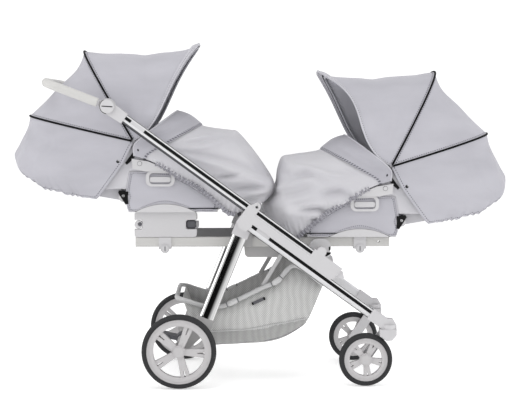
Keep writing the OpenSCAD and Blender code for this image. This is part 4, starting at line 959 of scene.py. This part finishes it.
def through(points, n):
    """n points at equal steps along a smooth curve through the points."""
    k = np.linspace(0, len(points) - 1, 40 * len(points))
    return even(spline(points, k), n)


def seam_height(x, end):
    """Height of the lower band's seam at x, with its last point at end."""
    return np.interp(x, *np.transpose(BAND_SEAM + [end]))


def basket_net():
    """Mesh basket: U-shaped sections between the rim's curve and the floor's, boxy with round lower corners, sagging a
    little in the middle, and an end wall at each end from the last section up to the rim. Both curves are returned."""
    n, m = 64, 73
    rim, floor = through(BASKET_RIM, n), through(BASKET_FLOOR, n)
    th = np.linspace(0, np.pi, m)
    a = np.sin(th).clip(0) ** SECTION_DEPTH
    across = np.sign(np.cos(th)) * np.abs(np.cos(th)) ** SECTION_WIDTH
    q = rim[:, None] + a[None, :, None] * (floor - rim)[:, None]
    t = np.linspace(0, 1, n)[:, None]
    pucker = 1.6 * np.sin(t * 190) * np.exp(-(a / 0.18) ** 2) + 1.5 * np.sin(t * 31 + 3 * a)
    y = across * (183.5 - 2.0 * np.sin(np.pi * a) + 0.6 * pucker)
    P = np.stack([q[..., 0], y, q[..., 1] - 3.0 * a ** 6 * np.sin(np.pi * t)], -1)
    pieces = [shell("basket_mesh", P, NET, [MESH], BASKET_INSIDE)]
    v = np.linspace(0, 1, 14)[:, None, None]
    for k in (0, -1):
        top = np.stack([np.full(m, rim[k, 0]), P[k, :, 1], np.full(m, rim[k, 1])], -1)
        pieces.append(shell("wall", (1 - v) * P[k] + v * top, NET, [MESH], BASKET_INSIDE))
    ob = joined("basket_mesh", *pieces)
    x, _, z = 1000 * centres(ob).T
    ob.data.materials.append(BAND)
    lower = (z < seam_height(x, [153, 216])).astype(np.int32)
    ob.data.polygons.foreach_set("material_index", lower * (len(ob.data.materials) - 1))
    fitted(ob, "chassis", "mesh", "basket")
    return rim, floor


def basket_hems(rim, floor):
    """A pale hem along the lower band's seam and a dark one near the floor, on both sides."""
    rim, floor = rim[3:-1], floor[3:-1]
    part = np.clip((rim[:, 1] - seam_height(rim[:, 0], [206, 222])) / (rim[:, 1] - floor[:, 1]), 0, 0.96)
    hems = []
    for s in SIDES.values():
        for share, r, look in ((part, 2.2, SLEEVE), (np.full(part.shape, 0.955), 1.7, DARK)):
            wide = np.sqrt(1 - share ** (2 / SECTION_DEPTH)) ** SECTION_WIDTH * 184.5
            line = rim + share[:, None] * (floor - rim)
            hems.append(rod("hem", np.stack([line[:, 0], s * wide, line[:, 1]], -1), r, look, 8, (0, 1, 0.1)))
    fitted(joined("basket_hems", *hems), "chassis", "mesh")


def basket_sleeve():
    """Padded sleeve over the basket's rim, a little uneven, and four cuffs on it with dark bands at their ends."""
    n = 260
    side = [[x, 193.4, z] for x, z in BASKET_RIM[:0:-1]]
    half = side + [[-262, 193.4, 285], [-284, 186, 290], [-291, 165, 291], [-292, 110, 291], [-292, 0, 291]]
    path = through(np.array(half + [[x, -y, z] for x, y, z in half[-2::-1]], float), n)
    thick = 7.6 + 0.35 * np.sin(np.arange(n) * 0.9) + 0.25 * np.sin(np.arange(n) * 2.3)
    rim = fitted(rod("basket_rim_sleeve", path, thick, SLEEVE, 14, RIM_UP), "chassis", "rim_pad", "basket_rim")
    cuffs = []
    for x0 in (-105, 46):
        for s in (1, -1):
            k = int(np.argmin(np.abs(path[:, 0] - x0) + 400 * (np.sign(path[:, 1]) != s)))
            cuffs.append(rod("cuff", path[k - 3:k + 4], [7.0, 9.3, 9.6, 9.6, 9.6, 9.3, 7.0], CUFF, 16, RIM_UP))
            cuffs += [rod("cuff", even(path[end:end + 2], 5)[1:4], 8.3, DARK, 16, RIM_UP) for end in (k - 4, k + 3)]
    fitted(joined("basket_cuffs", *cuffs), "chassis", "rim_pad")


def basket_straps():
    """Straps from the rim up to the seat rails, faintly bowed across, and a plain tag on the right side."""
    line = through(np.array([[0, 332], [26, 376], [54, 424], [76, 462], [86, 484]], float), 40)
    w = np.linspace(-7, 7, 7)
    q = line[:, None] - w[:, None] * across_line(line)[:, None]
    straps = []
    for s in SIDES.values():
        y = np.broadcast_to(s * (186.4 + 0.8 * np.cos(np.pi * w / 14)), q.shape[:2])
        P = np.stack([q[..., 0], y, q[..., 1]], -1)
        straps.append(shell("strap", P, CLOTH, [SLEEVE], np.array([40.0, 0.0, 400.0])))
    strap = fitted(joined("basket_straps", *straps), "chassis", "rim_pad")
    tag = [bar("tag", np.array([-34.0, 266.0]), np.array([0.914, 0.406]), x0, x1, 0, 10, -184.0, -188.2, look, 0.3)
           for x0, x1, look in ((0, 5.5, BLACK), (5.5, 42.5, DARK), (42.5, 48, BLACK))]
    fitted(joined("basket_tag", *tag), "chassis", "dark_plastic")


# Hard trim

# Directions along and square to the side rails in side view, and level
SLOPE = math.radians(36)
E = np.array([math.cos(SLOPE), -math.sin(SLOPE)])
M = np.array([math.sin(SLOPE), math.cos(SLOPE)])
LEVEL = np.array([1.0, 0.0])
# The rear frame's pivot on the lower rail's line, a point of the upper rail's line, and the handle's hinge
PIVOT = np.array([-60.0, 552.0])
UPPER = PIVOT + 46 * M
HINGE = UPPER - 597 * E
# Each rail's line, start, end, its insert's start and end, its body, and the fine lines along its edges: dark lines
# that paint dark reflection bands and the shade at its edges
RAILS = {"upper": (UPPER, -541, 346, -504, -450, "handle_slider",
                   ((15.0, 16.6, BLACK), (-10.8, -9.2, BLACK), (-14.6, -10.8, DARK), (-16.6, -14.6, BLACK))),
         "lower": (PIVOT, 21, 519, 45, 96, "chassis", ((15.2, 16.4, BLACK), (-16.4, -14.9, BLACK)))}
# Half widths over a rail's groove, its strip, the foot of its fine lines, their faces, and its insert
GROOVE, STRIP, LINE_FOOT, LINE_FACE, INSERT = 256.6, 257.6, 257.4, 258.3, 258.35
# Recline bracket, and a black plate painted as the shadow gap along a hood skirt's front edge, in a seat's side view,
# and the front supports' clip in the pram's
BRACKET = [[453, 70], [484, 74], [487, 66], [476, 48], [462, 26], [453, 28]]
SKIRT_SHADOW_GAP = [[426, 204], [435, 204], [463, 166], [457, 160], [443, 172], [427, 190]]
CLIP = [[203, 450], [231, 445], [229, 441], [217, 433], [206, 439]]
# Dark strips painted as the shadow gaps under a side cover: from and to along u, from and to in height, and half width
SHADOW_GAP_STRIPS = ((150, 257, 11.0, 14.0, 199.4), (424, 437, 1.0, 5.0, 196.2), (216, 229, 1.0, 5.0, 196.2))


def bar(name, base, along, t0, t1, n0, n1, y0, y1, mat, soft=0.8):
    """A bar laid along a direction of the side view: an outline with chamfered corners, carried from y0 to y1, with its
    outer edge drawn in by the chamfer."""
    up = np.array([-along[1], along[0]])
    c = min(soft, (n1 - n0) / 3)
    pts = np.array([[t0 + c, n0], [t1 - c, n0], [t1, n0 + c], [t1, n1 - c],
                    [t1 - c, n1], [t0 + c, n1], [t0, n1 - c], [t0, n0 + c]])
    return plate(name, base + pts[:, :1] * along + pts[:, 1:] * up, y0, y1, mat, soft)


def plate(name, outline_xz, y0, y1, mat, soft=0.8):
    """A flat piece: its outline in the side view at y0, the same near y1, and a slightly smaller one at y1, capped."""
    p = np.asarray(outline_xz, float)
    m = len(p)
    mid = p.mean(0)
    small = p + (mid - p) * (soft / np.maximum(np.linalg.norm(mid - p, axis=1, keepdims=True), 1e-6))
    step = math.copysign(min(soft, abs(y1 - y0) / 2), y1 - y0)
    rows = [(p, y0), (p, y1 - step), (small, y1)]
    V = np.stack([np.stack([q[:, 0], np.full(m, y), q[:, 1]], -1) for q, y in rows])
    faces = quads(3, m, False, True).tolist() + [list(range(m - 1, -1, -1)), list(range(2 * m, 3 * m))]
    return facing(mesh_object(name, V.reshape(-1, 3), faces, [mat], smooth=False))


def disc(name, x, z, r, y0, y1, mat, n=28, crown=0.0, soft=0.8):
    """A round head on a side face: rings of growing radius from its crowned top, down its rim to its foot."""
    s = math.copysign(1, y1 - y0)
    radii = np.array([0.02, 0.4, 0.75, 1 - soft / r, 1, 1]) * r
    ys = np.array([y1, y1, y1, y1, y1 - s * soft, y0]) - s * crown * np.array([0, 0.16, 0.56, 0.9, 1.0, 0])
    a = np.linspace(0, 2 * np.pi, n, endpoint=False)
    V = np.stack([x + radii[:, None] * np.cos(a), ys[:, None] + 0 * a, z + radii[:, None] * np.sin(a)], -1)
    k = len(radii)
    f = quads(k, n, False, True).tolist() + [list(range(n)), list(range(k * n - 1, (k - 1) * n - 1, -1))]
    return facing(mesh_object(name, V.reshape(-1, 3), f, [mat]))


def rail_trim():
    """Black strips in the rails' grooves, dark lines along their edges that paint dark reflection bands and edge shade,
    pale inserts in the grooves, and screw heads on the housings, on both sides."""
    for tag, (base, t0, t1, i0, i1, body, lines) in RAILS.items():
        strips = []
        for s in SIDES.values():
            strips += [bar("strip", base, E, *ends, -0.8, 9.8, s * GROOVE, s * STRIP, BLACK, 0.3)
                       for ends in ((t0, i0), (i1, t1))]
            # Fine dark lines along the rail's edges: painted reflection bands and painted edge shade
            strips += [bar("strip", base, E, t0, t1, n0, n1, s * LINE_FOOT, s * LINE_FACE, look, 0.2)
                       for n0, n1, look in lines]
        fitted(joined(f"{tag}_rail_strips", *strips), body, "dark_plastic")
    for tag, (base, _, _, i0, i1, body, _) in RAILS.items():
        inserts = [bar("insert", base, E, i0, i1, -0.9, 9.9, s * GROOVE, s * INSERT, WHITE, 0.5)
                   for s in SIDES.values()]
        fitted(joined(f"{tag}_rail_inserts", *inserts), body, "white_plastic")
    x, z = UPPER + 21.6 * M
    screws = []
    for s in SIDES.values():
        screws.append(disc("screw", x, z, 6.5, s * 261.0, s * 264.2, STEEL, crown=0.8))
        screws.append(disc("screw", x, z, 2.6, s * 263.0, s * 264.6, BLACK, soft=0.3))
    fitted(joined("housing_screws", *screws), "chassis", "chrome_tube")


def rear_legs():
    """Oval chromed rear legs, 50 by 22 mm, along the two straight lines from the pivot to the rear axle."""
    a = math.radians(21.9)
    p = PIVOT + np.linspace(30, 378, 40)[:, None] * np.array([-math.sin(a), -math.cos(a)])
    legs = [rod("leg", np.insert(p, 1, s * 221.0, 1), 25.0, CHROME, 48, (0, 1, 0), flat=0.44) for s in SIDES.values()]
    fitted(joined("rear_leg_skins", *legs), "rear_frame", "chrome_tube", "rear_leg_tubes")


def hinge_trim():
    """A dark slot across each round hinge button, and a dark arc on the left of the gap beside it: painted shade of the
    gap.
    """
    a = np.radians(np.linspace(118, 262, 40))
    arc = HINGE + 24.6 * np.stack([np.cos(a), np.sin(a)], -1)
    # Black arcs on the gaps' left side only: painted shade
    rings = [rod("ring", np.insert(arc, 1, s * 261.6, 1), 1.0, BLACK, 8, (0, 1, 0)) for s in SIDES.values()]
    fitted(joined("hinge_shade_arcs", *rings), "handle_slider", "dark_plastic")
    for tag, s in SIDES.items():
        slot = bar(f"hinge_button_slot_{tag}", HINGE, np.array([0.998, -0.06]), -18, 18, -1.6, 1.6, s * 269.6,
                   s * 270.4, BLACK, 0.4)
        fitted(slot, f"button_{tag}", "dark_plastic")


def snaps():
    """Black snaps on the flaps and the hood skirts, the skirts' ones with a small steel dot off their middle, a painted
    highlight.
    """
    for seat in SEATS:
        heads = []
        for s in SIDES.values():
            for u, y, z, capped in ((415, 221.5, 211, False), (486, 212.0, 172, True)):
                x, h = in_view(seat, (u, z))
                heads.append(disc("snap", x, h, 6.0, s * (y - 1.0), s * (y + 1.6), BLACK, crown=0.4))
                if capped:
                    # A small steel dot off the middle of a skirt's snap: a painted highlight
                    heads.append(disc("snap", x + 2.4, h + 2.0, 3.6, s * (y + 1.0), s * (y + 2.2), STEEL, crown=0.4))
        fitted(joined(f"{seat}_hood_snaps", *heads), "chassis", "chrome_tube")


def brackets():
    """Black recline brackets on the tubs' rear corners, each with a steel pin."""
    for seat in SEATS:
        both = []
        for s in SIDES.values():
            both.append(plate("bracket", in_view(seat, BRACKET), s * 188.0, s * 199.0, BLACK, 1.2))
            both.append(disc("pin", *in_view(seat, (470, 55)), 5.0, s * 198.0, s * 200.4, STEEL))
        fitted(joined(f"{seat}_recline_brackets", *both), "chassis", "dark_plastic")


def seat_trim():
    """Dark strips under the side covers and black plates along the hoods' skirts, both painted shadow gaps, the dark
    joints round the fittings' rivets, slots on the clamps' knobs, and the catches in the raised adapters' notches and
    on the front supports, on both sides."""
    strips, rivets, slots = [], [], []
    for seat, (turn, base) in SEATS.items():
        for s in SIDES.values():
            # Dark strips painted as the shadow gaps under the side cover
            for u0, u1, z0, z1, y1 in SHADOW_GAP_STRIPS:
                ends = sorted((turn * u0, turn * u1))
                strips.append(bar("strip", np.array([0.0, base]), LEVEL, *ends, z0, z1, s * 190.0, s * y1, BLACK, 0.4))
            # A black plate painted as the shadow gap along the hood skirt's front edge
            strips.append(plate("strip", in_view(seat, SKIRT_SHADOW_GAP), s * 195.6, s * 198.6, BLACK, 0.8))
            rivets.append(disc("rivet", *in_view(seat, (413, 165)), 8.2, s * 212.6, s * 213.4, DARK, soft=0.2))
            slots.append(bar("slot", np.array([turn * 330.0, 460.0]), LEVEL, -1.5, 1.5, -8, 8, s * 195.6, s * 196.5,
                             DARK, 0.4))
    for s in SIDES.values():
        slots.append(disc("slot", -415.0, 543.0, 7.0, s * 183.5, s * 185.0, DARK, soft=0.6))
        slots.append(bar("slot", np.array([0.0, 541.6]), LEVEL, -259, -227 - 2 * s, -14, 14, s * 170.0, s * 180.0,
                         DARK, 5.0))
        slots.append(plate("slot", CLIP, s * 188.0, s * 194.9, BLACK, 0.6))
        slots.append(bar("slot", np.array([0.0, 460.0]), LEVEL, 224, 229, -6, 6, s * 193.5, s * 194.8, BLACK, 0.6))
    fitted(joined("seat_shadow_gap_strips", *strips), "chassis", "dark_plastic")
    fitted(joined("fitting_rivet_joints", *rivets), "chassis", "dark_plastic")
    fitted(joined("adapter_catches", *slots), "chassis", "dark_plastic")


basket_hems(*basket_net())
basket_sleeve()
basket_straps()
rail_trim()
seat_trim()
rear_legs()
hinge_trim()
snaps()
brackets()
